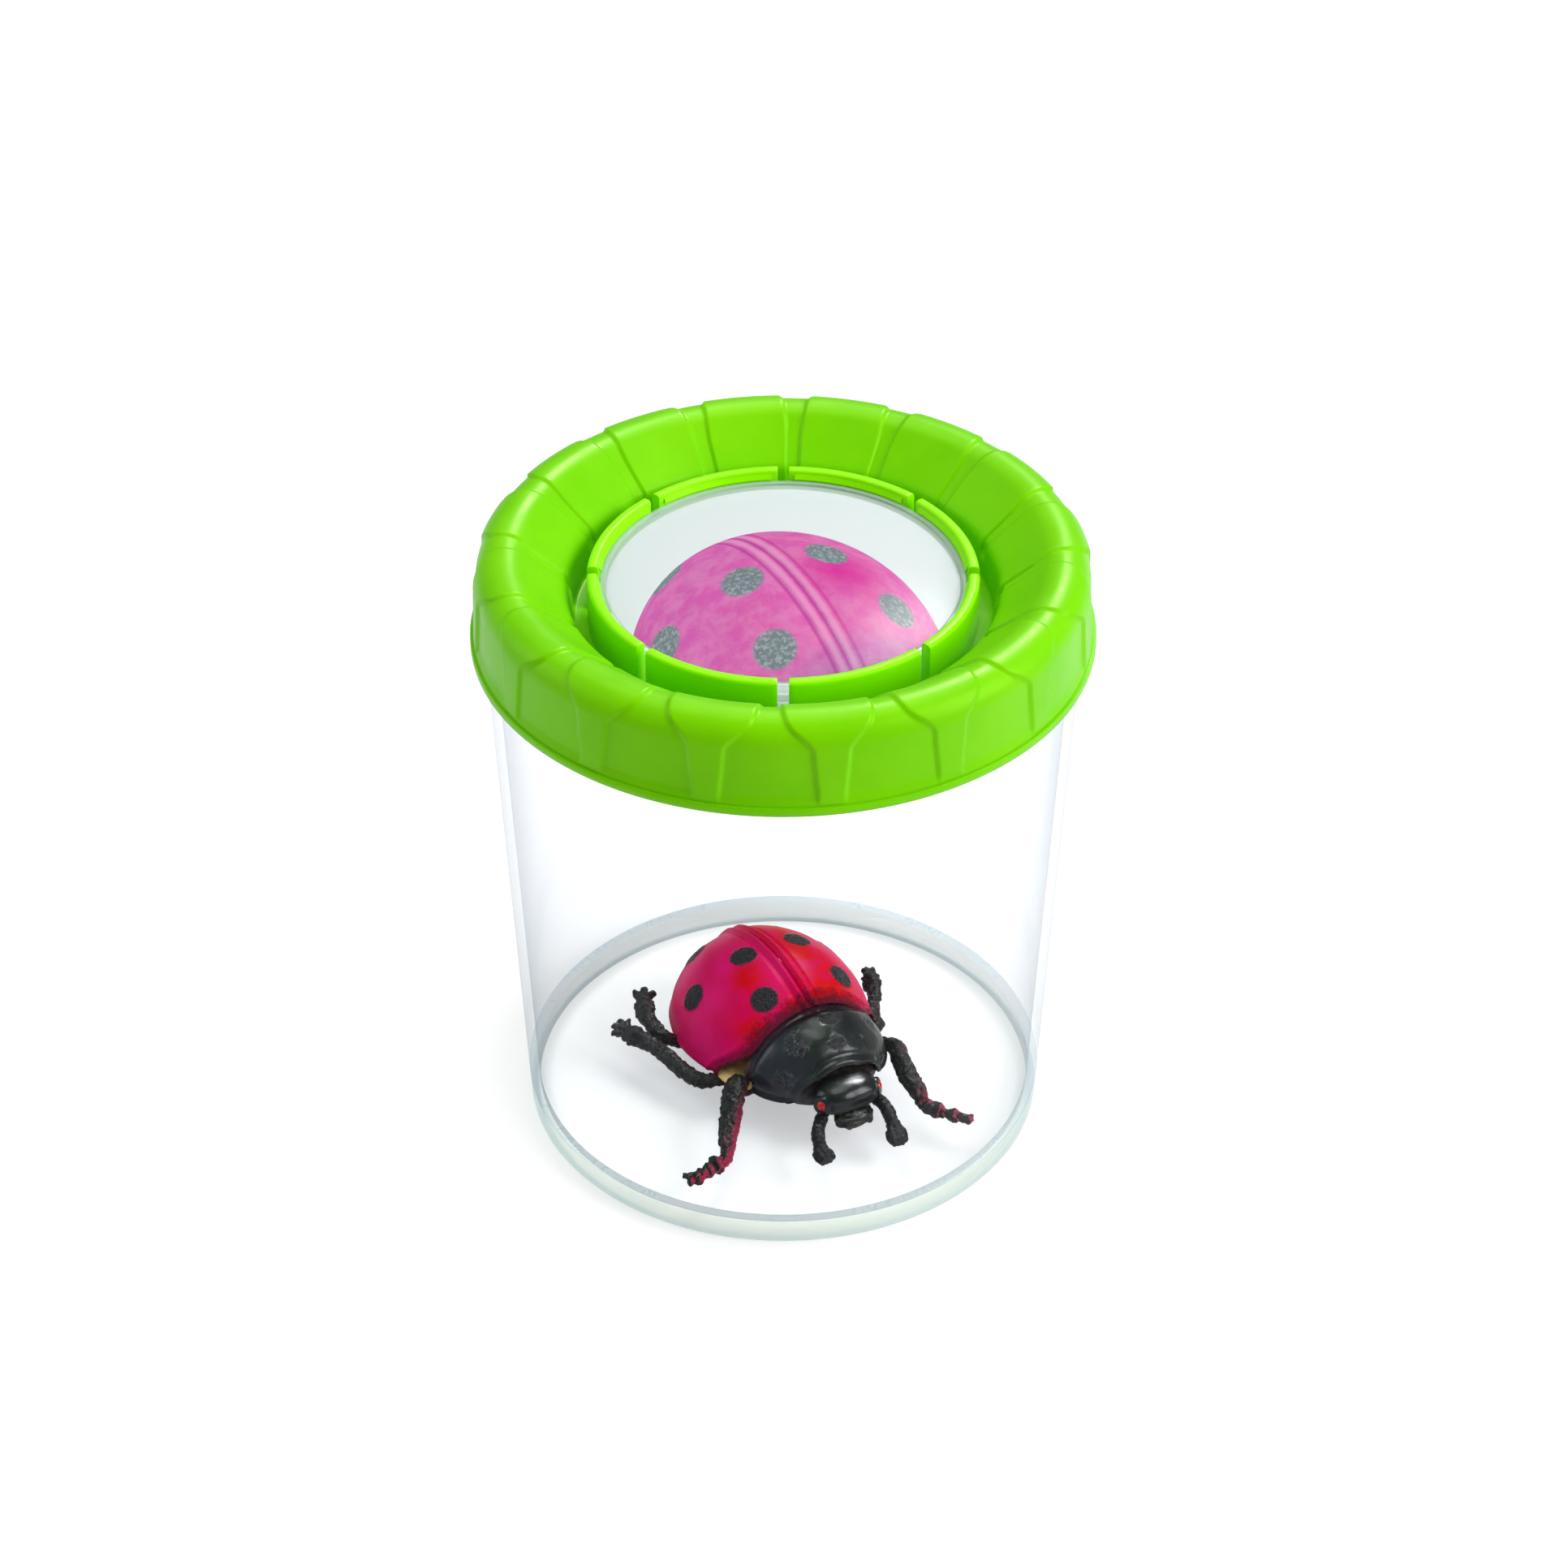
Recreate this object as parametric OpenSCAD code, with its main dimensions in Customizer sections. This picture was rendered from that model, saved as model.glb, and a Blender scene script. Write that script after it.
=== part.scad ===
// Bug catcher jar: a clear tapered jar with a separate base, a press-on ring lid
// that holds a magnifying lens in eight spring fingers, and a loose toy ladybird.
// Millimetres, +Z up. The origin is at the centre of the circle the jar stands on.
// The ladybird is drawn in a frame of its own, +X towards its head and +Y to its
// left, and is then turned and moved to its place on the jar's floor.

/* [Jar] */
// Diameter of the foot that the jar stands on
foot_d = 95; // [90:0.5:99]
// Diameter of the wall at its shoulder, just under the lid
mouth_d = 105; // [102:0.5:112]
// Height of the shoulder above the ground
shoulder_h = 100.8; // [80:0.2:140]
// Thickness of the clear wall
wall_t = 1.8; // [1.2:0.1:2.4]
// Height of the neck that stands up inside the lid
neck_h = 9.5; // [6:0.5:10]
// How far the neck steps in from the wall below it
neck_step = 0.7; // [0.4:0.1:1]
// Height of the base, from the ground to its floor
base_h = 5.1; // [4:0.1:8]
// Thickness of the floor
floor_t = 2; // [1.5:0.1:3]
// Thickness of the foot ring under the floor
foot_ring_t = 1.6; // [1.2:0.1:3]

/* [Lid] */
// Running gap between the lid and the jar, upright and sideways
lid_gap = 0.35; // [0.3:0.05:0.5]
// Height of the thin lip along the lid's lower edge
lip_h = 1.7; // [1:0.1:2.5]
// How far the lip stands out from the lid's outer wall
lip_out = 0.5; // [0.3:0.1:1]
// Thickness of the lid's outer wall at its lower edge
lid_wall_t = 2.25; // [1.6:0.05:3]
// Thickness of the shell over the crest and down the inner slope
shell_t = 1.9; // [1.4:0.1:2.4]
// Radius of the rounded crest
crest_r = 5.3; // [4.5:0.1:6]
// Height of the crest above the lid's lower edge
crest_h = 17.6; // [16.5:0.1:22]
// Slope of the inner side, from the level, in degrees
slope_angle = 40; // [36:1:44]
// Radius at which the slope ends and drops into the moat round the collar
moat_r = 37.8; // [37.2:0.1:39]
// How far the moat's outer side leans in on its way down
moat_lean = 1; // [0.4:0.1:1.2]
// Height of the moat's floor above the lid's lower edge
moat_floor_h = 3.9; // [3:0.1:5]
// Thickness of the moat's floor
moat_floor_t = 1.8; // [1.2:0.1:2.4]

/* [Grip pads] */
// Number of raised pads round the lid
pad_count = 16; // [12:1:20]
// How far the pads stand above the gaps between them
pad_rise = 0.6; // [0.3:0.1:0.8]
// Turn of the whole row of pads about the jar's axis, in degrees
pad_turn = -2.6; // [-10:0.1:10]
// Width of a gap at the crest, as a share of one pad's pitch
crest_gap_share = 0.22; // [0.15:0.01:0.4]
// Width of a gap on the outer wall, as a share of one pad's pitch
wall_gap_share = 0.76; // [0.5:0.01:0.85]

/* [Lens and collar] */
// Outer diameter of the lens
lens_d = 63.9; // [60:0.1:66]
// Gap between the lens and the collar's fingers
lens_gap = 0.3; // [0.2:0.05:0.5]
// Width of the plain rim round the lens's optical zone
lens_rim_w = 2; // [1.5:0.1:3]
// Height of the lens, from its skirt's lower edge to its rim
lens_h = 7; // [6:0.1:9]
// Thickness of the lens at the edge of its optical zone
lens_edge_t = 3; // [2:0.1:4]
// How far each face of the lens bulges at its centre
lens_bulge = 2.3; // [1.5:0.1:3]
// Thickness of the skirt that the lens stands on
lens_skirt_t = 1.5; // [1:0.1:2]
// Height of one of the fine steps in the lens's rim
rim_step = 0.4; // [0.2:0.1:0.6]
// Number of spring fingers in the collar
finger_count = 8; // [6:1:12]
// Thickness of the fingers
finger_t = 2; // [1.4:0.1:2.2]
// How far the fingers stand above the lens's rim
finger_over = 1.9; // [1.4:0.1:3]
// Width of the slots between the fingers
slot_w = 2; // [1:0.1:3]
// How far each finger's hook reaches over the lens's rim
hook_reach = 0.9; // [0.6:0.1:1.2]
// Width of a hook as an angle, in degrees
hook_angle = 14; // [8:1:24]

/* [Ladybird] */
// Length of the two wing cases, if their front weren't cut off by the neck shield
case_l = 43.4; // [38:0.2:46]
// Width across the two wing cases
case_w = 37.6; // [34:0.2:40]
// Height of the wing cases above their lower edge
case_h = 16.4; // [12:0.2:19]
// Height of the wing cases' lower edge above the jar's floor, at the middle
belly_lift = 2.9; // [2.8:0.1:4]
// Nose-up tilt of the body, in degrees
body_tilt = 3.8; // [0:0.1:4]
// Depth of the underbody below the wing cases
belly_h = 2.1; // [1.2:0.1:2.2]
// Width of one of the two ridges along the seam between the wing cases
seam_w = 1.3; // [0.8:0.1:2]
// How far the ridges stand above the wing cases
seam_rise = 0.45; // [0.2:0.05:0.8]
// Width of the groove between the two ridges
seam_groove_w = 0.5; // [0.3:0.1:0.8]
// Length of the neck shield
shield_l = 10.3; // [8:0.1:12]
// Width of the head
head_w = 12; // [10:0.2:14]
// Diameter of an eye
eye_d = 2.8; // [2:0.1:3.4]
// Thickness of a leg at its thickest
leg_d = 3.8; // [3:0.1:4.4]
// Thickness of a feeler's stalk
feeler_d = 2.4; // [1.8:0.1:3]
// Length of a claw
claw_l = 2.6; // [1.5:0.1:3.5]
// Distance of the ladybird's middle from the jar's axis
bug_offset = 5.6; // [0:0.1:6]
// Compass direction of that middle from the jar's axis, in degrees
bug_bearing = 108; // [100:1:116]
// Direction in which the ladybird faces, in degrees from +X
bug_heading = -61; // [-66:1:-56]
// Gap left under the ladybird's feet
rest_gap = 0.3; // [0.2:0.05:0.5]
// Room left beyond the reach of the feet, to the jar's wall
foot_room = 2.6; // [2.3:0.1:5]

/* [Hidden] */
$fn = 96;

// One overrun serves every cut
over = 1;

// Sizes of the jar that follow from the driving ones
foot_r = foot_d / 2;
mouth_r = mouth_d / 2;
wall_slope_share = (mouth_r - foot_r) / shoulder_h;
base_top_r = foot_r + wall_slope_share * base_h;
neck_r = mouth_r - neck_step;
neck_top = shoulder_h + neck_h;

// Sizes of the lid; its own heights start at its lower edge
lid_z = shoulder_h + lid_gap;
lid_bore_r = neck_r + lid_gap;
lid_wall_r = lid_bore_r + lid_wall_t;
lip_r = lid_wall_r + lip_out;
crest_z = crest_h - crest_r;
crest_centre_r = lid_bore_r + shell_t - crest_r;
under_crest_r = crest_r - shell_t;
moat_floor_r = moat_r - moat_lean;
under_foot_r = moat_r + shell_t;
floor_under_z = moat_floor_h - moat_floor_t;
pad_pitch = 360 / pad_count;
// Directions from the crest's centre at which a gap between pads starts, narrows and ends. Its
// wide part on the wall is a little shallower, and laps the narrow part by a few degrees.
gap_foot_turn = -90;
gap_narrow_turn = 42;
gap_slope_turn = 205;
gap_lap_turn = 2;
wall_gap_depth_share = 0.85;

// Sizes of the lens and the collar; heights from the lid's lower edge
lens_r = lens_d / 2;
collar_in_r = lens_r + lens_gap;
ledge_r = lens_r - lens_skirt_t - lens_gap;
lens_top_z = moat_floor_h + lens_h;
collar_top_z = lens_top_z + finger_over;
optic_r = lens_r - lens_rim_w;
optic_top_z = lens_top_z - rim_step;
optic_low_z = optic_top_z - lens_edge_t;
lens_curve_r = (optic_r * optic_r + lens_bulge * lens_bulge) / (2 * lens_bulge);
hook_z = lens_top_z + lens_gap;
hook_h = (finger_over - lens_gap) * 0.6;
lens_curve_sides = 720;

// Sizes of the ladybird in its own frame, whose level is the jar's floor
case_half = [case_l / 2, case_w / 2, case_h];
front_cut_share = 0.68;
front_x = case_half[0] * front_cut_share;
front_section_share = sqrt(1 - front_cut_share * front_cut_share);
shield_half = [shield_l * 1.2, case_half[1] * front_section_share * 1.02,
    case_half[2] * front_section_share * 0.96];
neck_x = front_x + shield_l;
head_half = [head_w * 0.56, head_w / 2, head_w * 0.36];
head_x = neck_x + head_half[0] * 0.16;
head_z = head_half[2] * 0.1;
mouth_half = [head_w * 0.27, head_w * 0.28, head_w * 0.2];
mouth_x = head_x + head_half[0] * 0.62;
mouth_top_z = head_z - head_half[2] * 0.55;
eye_x = head_x + head_half[0] * 0.42;
eye_y = head_half[1] * 0.87;
bug_z = base_h + rest_gap;
leg_reach_x = base_top_r - wall_t - foot_room;
leg_reach_share = 0.868;
leg_reach_y = leg_reach_x * leg_reach_share;
limb_sides = 8;
case_steps = 9;
case_stations = 18;
case_tail_turn = 4;

// Legs and feelers, from the body outwards; the last number is the thickness as a share of the
// limb's. A leg's points are shares of the wing cases' half length, half width and height, and
// past 1 of the room from there to the reach of the feet. A feeler's are shares of the head's.
front_right_shares = [[0.66, -0.40, 0.14, 0.66], [0.67, -0.72, 0.14, 0.66], [0.73, -0.89, 0.34, 0.95],
    [0.94, -1.07, 0.25, 1.08], [1.16, -1.25, 0.17, 0.90], [1.34, -1.38, 0.12, 0.62],
    [1.39, -1.53, 0.11, 0.84], [1.41, -1.63, 0.10, 0.60], [1.43, -1.74, 0.10, 0.66]];
front_left_shares = [[0.66, 0.42, 0.14, 0.66], [0.69, 0.75, 0.14, 0.66], [0.88, 0.84, 0.22, 0.78],
    [1.06, 0.75, 0.29, 0.86], [1.38, 0.66, 0.31, 0.90], [1.53, 0.66, 0.24, 0.80], [1.58, 0.66, 0.16, 0.62],
    [1.66, 0.74, 0.13, 0.78], [1.74, 0.81, 0.11, 0.54], [1.81, 0.88, 0.10, 0.62], [1.88, 0.95, 0.09, 0.46]];
middle_right_shares = [[0.46, -0.45, 0.12, 0.66], [0.43, -0.84, 0.13, 0.68], [0.39, -1.05, 0.14, 0.76],
    [0.21, -1.17, 0.17, 0.80], [-0.01, -1.22, 0.19, 0.76], [-0.22, -1.29, 0.21, 0.78],
    [-0.35, -1.35, 0.21, 0.98], [-0.46, -1.40, 0.19, 0.84]];
middle_left_shares = [[0.50, 0.50, 0.12, 0.66], [0.48, 0.86, 0.13, 0.66], [0.30, 0.95, 0.12, 0.62],
    [0.10, 1.10, 0.12, 0.66], [-0.07, 1.18, 0.13, 0.88], [-0.17, 1.22, 0.12, 0.72]];
rear_right_shares = [[-0.08, -0.58, 0.08, 0.60], [-0.16, -0.86, 0.09, 0.60], [-0.22, -1.09, 0.20, 0.68],
    [-0.37, -1.13, 0.22, 0.74], [-0.53, -1.12, 0.22, 0.84], [-0.68, -1.06, 0.20, 0.94],
    [-0.77, -1.01, 0.18, 0.84]];
rear_left_shares = [[-0.08, 0.58, 0.08, 0.60], [-0.18, 0.84, 0.09, 0.60], [-0.32, 0.99, 0.10, 0.68],
    [-0.50, 0.97, 0.11, 0.74], [-0.66, 0.91, 0.12, 0.94], [-0.75, 0.87, 0.12, 0.84]];
feeler_right_shares = [[0.05, -0.60, 0.72, 0.80], [0.37, -0.97, 0.54, 0.95], [0.76, -1.32, 0.68, 0.90],
    [1.08, -1.54, 0.72, 1.00], [1.38, -1.66, 0.61, 0.95], [1.57, -1.72, 0.53, 1.25],
    [1.73, -1.72, 0.46, 1.35], [1.89, -1.72, 0.42, 0.90]];
feeler_left_shares = [[0.05, 0.60, 0.72, 0.80], [0.37, 0.97, 0.54, 0.95], [0.76, 0.97, 0.68, 0.90],
    [1.18, 0.88, 0.76, 1.00], [1.47, 0.81, 0.65, 0.95], [1.76, 0.75, 0.53, 1.25],
    [1.99, 0.66, 0.46, 1.35], [2.18, 0.60, 0.42, 0.90]];
claw_spread = [-38, 0, 38];
claw_thick_share = 0.3;

// Colours as the photograph shows them
clear_tint = [0.86, 0.93, 0.94, 0.35];
base_tint = [0.80, 0.86, 0.82, 0.6];
lid_green = [0.45, 0.78, 0.05];
case_red = [0.80, 0.06, 0.20];
shell_black = [0.10, 0.11, 0.12];
belly_cream = [0.80, 0.66, 0.32];
eye_red = [0.85, 0.03, 0.12];

// A clear tapered wall with a neck that steps in under the lid
module jar_wall() {
    color(clear_tint)
    rotate_extrude()
    polygon([
        [base_top_r - wall_t, base_h],
        [base_top_r, base_h],
        [mouth_r, shoulder_h],
        [neck_r, shoulder_h],
        [neck_r, neck_top],
        [neck_r - wall_t, neck_top],
        [neck_r - wall_t, shoulder_h],
        [mouth_r - wall_t * (1 + wall_slope_share), shoulder_h - wall_t]
    ]);
}

// The base: a floor on a foot ring, whose top face carries the wall
module jar_base() {
    color(base_tint)
    rotate_extrude()
    polygon([
        [0, base_h - floor_t],
        [foot_r - foot_ring_t, base_h - floor_t],
        [foot_r - foot_ring_t, 0],
        [foot_r, 0],
        [base_top_r, base_h],
        [0, base_h]
    ]);
}

// The slope runs down from where it leaves the round crest, whatever the crest's radius
function slope_top(radius) =
    [crest_centre_r - radius * sin(slope_angle), crest_z + radius * cos(slope_angle)];
function slope_z(radius, at_r) = slope_top(radius)[1] - (slope_top(radius)[0] - at_r) * tan(slope_angle);

// Section under a round crest of this radius, its inner slope ending at foot_at
module ring_outline(radius, foot_at) {
    translate([crest_centre_r, crest_z]) circle(radius);
    polygon([
        [crest_centre_r, crest_z],
        slope_top(radius),
        [foot_at, slope_z(radius, foot_at)],
        [foot_at, floor_under_z],
        [crest_centre_r, floor_under_z]
    ]);
}

// Section of the outer wall, set out or in from its real face
module wall_outline(set_out) {
    polygon([
        [crest_centre_r, 0],
        [lid_wall_r + set_out, 0],
        [lid_wall_r + set_out, lip_h],
        [crest_centre_r + crest_r + set_out, crest_z],
        [crest_centre_r, crest_z]
    ]);
}

module lid_section() {
    difference() {
        union() {
            ring_outline(crest_r, moat_r);
            wall_outline(0);
            translate([crest_centre_r, 0]) square([lip_r - crest_centre_r, lip_h]);
        }
        ring_outline(under_crest_r, under_foot_r);
        translate([crest_centre_r - over, -over])
        square([lid_bore_r - crest_centre_r + over, crest_z + over]);
    }
    // Moat: its floor, its leaning outer side, and the ledge that the lens stands on
    polygon([
        [ledge_r, floor_under_z],
        [under_foot_r, floor_under_z],
        [under_foot_r, slope_z(under_crest_r, under_foot_r)],
        [moat_r, slope_z(crest_r, moat_r)],
        [moat_floor_r, moat_floor_h],
        [ledge_r, moat_floor_h]
    ]);
    // Collar of spring fingers
    translate([collar_in_r, floor_under_z])
    square([finger_t, collar_top_z - floor_under_z]);
}

// What a gap between pads takes off the shell to this depth, between two directions that are
// seen from the middle of the round crest, where 0 looks outwards and 90 upwards
module pad_skin(depth, from, to) {
    reach = 4 * crest_r;
    turn_step = (to - from) / 4;
    foot_at = moat_floor_r - over;
    intersection() {
        difference() {
            union() {
                ring_outline(crest_r + over + depth, foot_at);
                wall_outline(over + depth);
            }
            ring_outline(crest_r - depth, foot_at);
            wall_outline(-depth);
            square([lip_r + 3 * over, lip_h]);
        }
        translate([crest_centre_r, crest_z])
        polygon(concat([[0, 0]], [for (i = [0:4]) let (turn = from + i * turn_step)
            reach * [cos(turn), sin(turn)]]));
    }
}

module ring_sector(middle, width) {
    rotate([0, 0, middle - width / 2])
    rotate_extrude(angle = width)
    children();
}

// The pads are wide over the slope and the crest, and narrow to ribs down the outer wall
module pad_gaps() {
    for (i = [0:pad_count - 1]) {
        middle = 90 + pad_turn + i * pad_pitch;
        ring_sector(middle, pad_pitch * crest_gap_share)
        pad_skin(pad_rise, gap_narrow_turn - gap_lap_turn, gap_slope_turn);
        ring_sector(middle, pad_pitch * wall_gap_share)
        pad_skin(pad_rise * wall_gap_depth_share, gap_foot_turn, gap_narrow_turn + gap_lap_turn);
    }
}

// One green moulding: padded ring, moat, ledge and the collar of spring fingers with hooks
module lid_ring() {
    color(lid_green)
    translate([0, 0, lid_z]) {
        difference() {
            rotate_extrude() lid_section();
            pad_gaps();
            for (i = [0:finger_count - 1])
                rotate([0, 0, i * 360 / finger_count])
                translate([collar_in_r - over, -slot_w / 2, moat_floor_h])
                cube([finger_t + 2 * over, slot_w, collar_top_z]);
        }
        for (i = [0:finger_count - 1])
            ring_sector((i + 0.5) * 360 / finger_count, hook_angle)
            polygon([
                [collar_in_r - hook_reach, hook_z],
                [collar_in_r + finger_t / 2, hook_z],
                [collar_in_r + finger_t / 2, hook_z + hook_h],
                [collar_in_r - hook_reach / 2, hook_z + hook_h]
            ]);
    }
}

// Biconvex lens with a stepped rim and a skirt that stands on the lid's ledge
module magnifier_lens() {
    color(clear_tint)
    translate([0, 0, lid_z])
    rotate_extrude()
    difference() {
        union() {
            translate([0, optic_low_z]) square([lens_r, lens_edge_t]);
            translate([optic_r + lens_rim_w / 2, optic_low_z])
            square([lens_rim_w / 2, lens_top_z - optic_low_z]);
            translate([lens_r - lens_skirt_t, moat_floor_h])
            square([lens_skirt_t, optic_low_z - moat_floor_h]);
            intersection() {
                translate([0, optic_top_z + lens_bulge - lens_curve_r]) circle(lens_curve_r, $fn = lens_curve_sides);
                translate([0, optic_top_z]) square([optic_r, lens_bulge]);
            }
            intersection() {
                translate([0, optic_low_z - lens_bulge + lens_curve_r]) circle(lens_curve_r, $fn = lens_curve_sides);
                translate([0, optic_low_z - lens_bulge]) square([optic_r, lens_bulge]);
            }
        }
        translate([-over, moat_floor_h]) square([over, lens_h + lens_bulge]);
    }
}

// Places what it is given on the jar's floor, facing the way the ladybird faces
module on_floor() {
    rotate([0, 0, bug_bearing]) translate([bug_offset, 0, bug_z]) rotate([0, 0, bug_heading - bug_bearing])
    children();
}

// The body's own frame: level with the wing cases' lower edge and tilted nose-up
module in_body() {
    on_floor() translate([0, 0, belly_lift]) rotate([0, -body_tilt, 0]) children();
}

module egg(half) {
    scale(half) sphere(1);
}

// A solid lofted through closed rings of points, turned inside out where forward is false
module loft(rings, forward) {
    size = len(rings[0]);
    last = (len(rings) - 1) * size;
    walls = [for (i = [0:len(rings) - 2], k = [0:size - 1])
        let (here = i * size, next_k = (k + 1) % size)
        [here + size + k, here + size + next_k, here + next_k, here + k]];
    near_cap = [for (k = [0:size - 1]) k];
    far_cap = [for (k = [size - 1:-1:0]) last + k];
    faces = concat([near_cap], walls, [far_cap]);
    polyhedron(
        points = [for (ring = rings) each ring],
        faces = forward ? faces : [for (face = faces) [for (k = [len(face) - 1:-1:0]) face[k]]]
    );
}

// A wing case is lofted through upright sections from tail to shield. Each section runs from
// the lower edge up to the seam, where a ridge and half of the groove end it.
function section_share(x) = sqrt(max(0, 1 - pow(x / case_half[0], 2)));
function case_section(x, side) =
    let (
        wide = case_half[1] * section_share(x),
        high = case_half[2] * section_share(x),
        ridge_out = min(seam_w + seam_groove_w / 2, wide * 0.5),
        ridge_in = ridge_out * 0.3,
        rise = min(seam_rise, high * 0.3)
    )
    concat(
        [[x, 0, 0]],
        [for (i = [0:case_steps])
            let (turn = i / case_steps * acos(ridge_out / wide))
            [x, side * wide * cos(turn), high * sin(turn)]],
        [
            [x, side * (ridge_out * 2 + ridge_in) / 3, high + rise * 0.7],
            [x, side * (ridge_out + ridge_in) / 2, high + rise],
            [x, side * ridge_in, high + rise * 0.5],
            [x, 0, high]
        ]
    );

module wing_case(side) {
    sweep = 180 - case_tail_turn - acos(front_cut_share);
    stations = [for (i = [0:case_stations])
        -case_half[0] * cos(case_tail_turn + sweep * i / case_stations)];
    color(case_red)
    in_body()
    loft([for (x = stations) case_section(x, side)], side > 0);
}

module wing_case_left() { wing_case(1); }

module wing_case_right() { wing_case(-1); }

// Domed shield over the front of the body
module neck_shield() {
    color(shell_black)
    in_body()
    intersection() {
        translate([front_x, 0, 0]) egg(shield_half);
        translate([front_x, -case_w, 0]) cube([shield_l, 2 * case_w, 2 * case_h]);
    }
}

// Flat underside below the wing cases and the shield; the legs grow out of it
module underbody() {
    color(belly_cream)
    in_body()
    intersection() {
        union() {
            egg([case_half[0] * 0.93, case_half[1] * 0.88, belly_h]);
            translate([front_x, 0, 0]) egg([shield_half[0] * 0.95, shield_half[1] * 0.86, belly_h * 1.2]);
        }
        translate([-case_l, -case_w, -case_h]) cube([case_l + neck_x, 2 * case_w, case_h]);
    }
}

module eye(side) {
    in_body() translate([eye_x, side * eye_y, head_z]) sphere(eye_d / 2);
}

module head_egg() {
    in_body() translate([head_x, 0, head_z]) egg(head_half);
}

module head() {
    color(shell_black)
    difference() {
        intersection() {
            head_egg();
            in_body()
            translate([neck_x, -head_w, mouth_top_z])
            cube([2 * head_w, 2 * head_w, 2 * head_w]);
        }
        eye(1);
        eye(-1);
    }
}

module mouthparts() {
    color(shell_black)
    in_body()
    intersection() {
        translate([mouth_x, 0, mouth_top_z]) egg(mouth_half);
        translate([neck_x, -head_w, mouth_top_z - head_w]) cube([2 * head_w, 2 * head_w, head_w]);
    }
}

module eye_left() { color(eye_red) eye(1); }

module eye_right() { color(eye_red) eye(-1); }

// Limbs are tubes swept through rings of points
function unit(v) = v / norm(v);
function leg_reach(share, half, reach) =
    sign(share) * (min(abs(share), 1) * half + max(abs(share) - 1, 0) * (reach - half));
function leg_point(share) = [
    leg_reach(share[0], case_half[0], leg_reach_x),
    leg_reach(share[1], case_half[1], leg_reach_y),
    share[2] * case_half[2]
];
function feeler_point(share) =
    [head_x + share[0] * head_half[0], share[1] * head_half[1], share[2] * head_half[2]];
function heading_at(path, i) = unit(path[min(i + 1, len(path) - 1)] - path[max(i - 1, 0)]);
function ring_at(centre, along, radius) =
    let (across = unit(cross([0, 0, 1], along)), above = cross(along, across))
    [for (k = [0:limb_sides - 1])
        let (turn = 360 * k / limb_sides)
        centre + radius * (cos(turn) * across + sin(turn) * above)];

module tube(path, radii) {
    loft([for (i = [0:len(path) - 1]) ring_at(path[i], heading_at(path, i), radii[i])], true);
}

module claws(tip, along, thick) {
    bearing = atan2(along[1], along[0]);
    for (turn = claw_spread) {
        reach = [cos(bearing + turn), sin(bearing + turn), 0] * claw_l;
        tube([tip - reach * 0.3, tip + reach * 0.5, tip + reach],
            [thick * claw_thick_share, thick * claw_thick_share, thick * claw_thick_share / 2]);
    }
}

module leg(shares) {
    path = [for (share = shares) leg_point(share)];
    last = len(path) - 1;
    color(shell_black)
    on_floor() {
        tube(path, [for (share = shares) share[3] * leg_d / 2]);
        claws(path[last], heading_at(path, last), leg_d);
    }
}

module feeler(shares) {
    color(shell_black)
    on_floor()
    tube([for (share = shares) feeler_point(share)], [for (share = shares) share[3] * feeler_d / 2]);
}

module feeler_left() { feeler(feeler_left_shares); }

module feeler_right() { feeler(feeler_right_shares); }

module leg_front_left() { leg(front_left_shares); }

module leg_front_right() { leg(front_right_shares); }

module leg_middle_left() { leg(middle_left_shares); }

module leg_middle_right() { leg(middle_right_shares); }

module leg_rear_left() { leg(rear_left_shares); }

module leg_rear_right() { leg(rear_right_shares); }

jar_wall();
jar_base();
lid_ring();
magnifier_lens();
wing_case_left();
wing_case_right();
neck_shield();
underbody();
head();
mouthparts();
eye_left();
eye_right();
feeler_left();
feeler_right();
leg_front_left();
leg_front_right();
leg_middle_left();
leg_middle_right();
leg_rear_left();
leg_rear_right();
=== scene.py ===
# A clear bug catcher jar with a green magnifier lid and a toy ladybird inside.
# Metres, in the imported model's frame: +Z up, -Y towards the camera, the jar's axis at X = Y = 0.
import bpy
import math
from mathutils import Matrix, Vector, kdtree, noise


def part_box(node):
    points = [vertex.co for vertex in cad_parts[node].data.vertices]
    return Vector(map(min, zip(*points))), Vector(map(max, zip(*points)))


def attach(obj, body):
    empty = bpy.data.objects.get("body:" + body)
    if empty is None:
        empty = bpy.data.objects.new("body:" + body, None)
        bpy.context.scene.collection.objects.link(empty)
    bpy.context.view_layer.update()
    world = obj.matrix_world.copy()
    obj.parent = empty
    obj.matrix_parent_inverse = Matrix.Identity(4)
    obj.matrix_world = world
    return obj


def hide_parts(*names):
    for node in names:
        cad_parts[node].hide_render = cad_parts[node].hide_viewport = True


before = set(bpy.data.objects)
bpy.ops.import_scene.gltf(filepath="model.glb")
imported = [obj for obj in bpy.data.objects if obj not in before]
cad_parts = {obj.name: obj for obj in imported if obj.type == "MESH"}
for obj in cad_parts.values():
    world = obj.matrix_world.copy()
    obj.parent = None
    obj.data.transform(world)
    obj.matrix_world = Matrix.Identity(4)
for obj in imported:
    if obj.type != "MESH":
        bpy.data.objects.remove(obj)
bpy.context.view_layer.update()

MM = 0.001

# Jar
foot_radius = 47.5 * MM
foot_ring_thick = 1.6 * MM
floor_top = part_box("jar_base")[1].z
floor_thick = 2 * MM
base_top_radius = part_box("jar_base")[1].x
wall_thick = 1.8 * MM
shoulder_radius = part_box("jar_wall")[1].x
neck_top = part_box("jar_wall")[1].z
neck_height = 9.5 * MM
shoulder_step = 0.7 * MM
shoulder_top = neck_top - neck_height
neck_radius = shoulder_radius - shoulder_step

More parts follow.
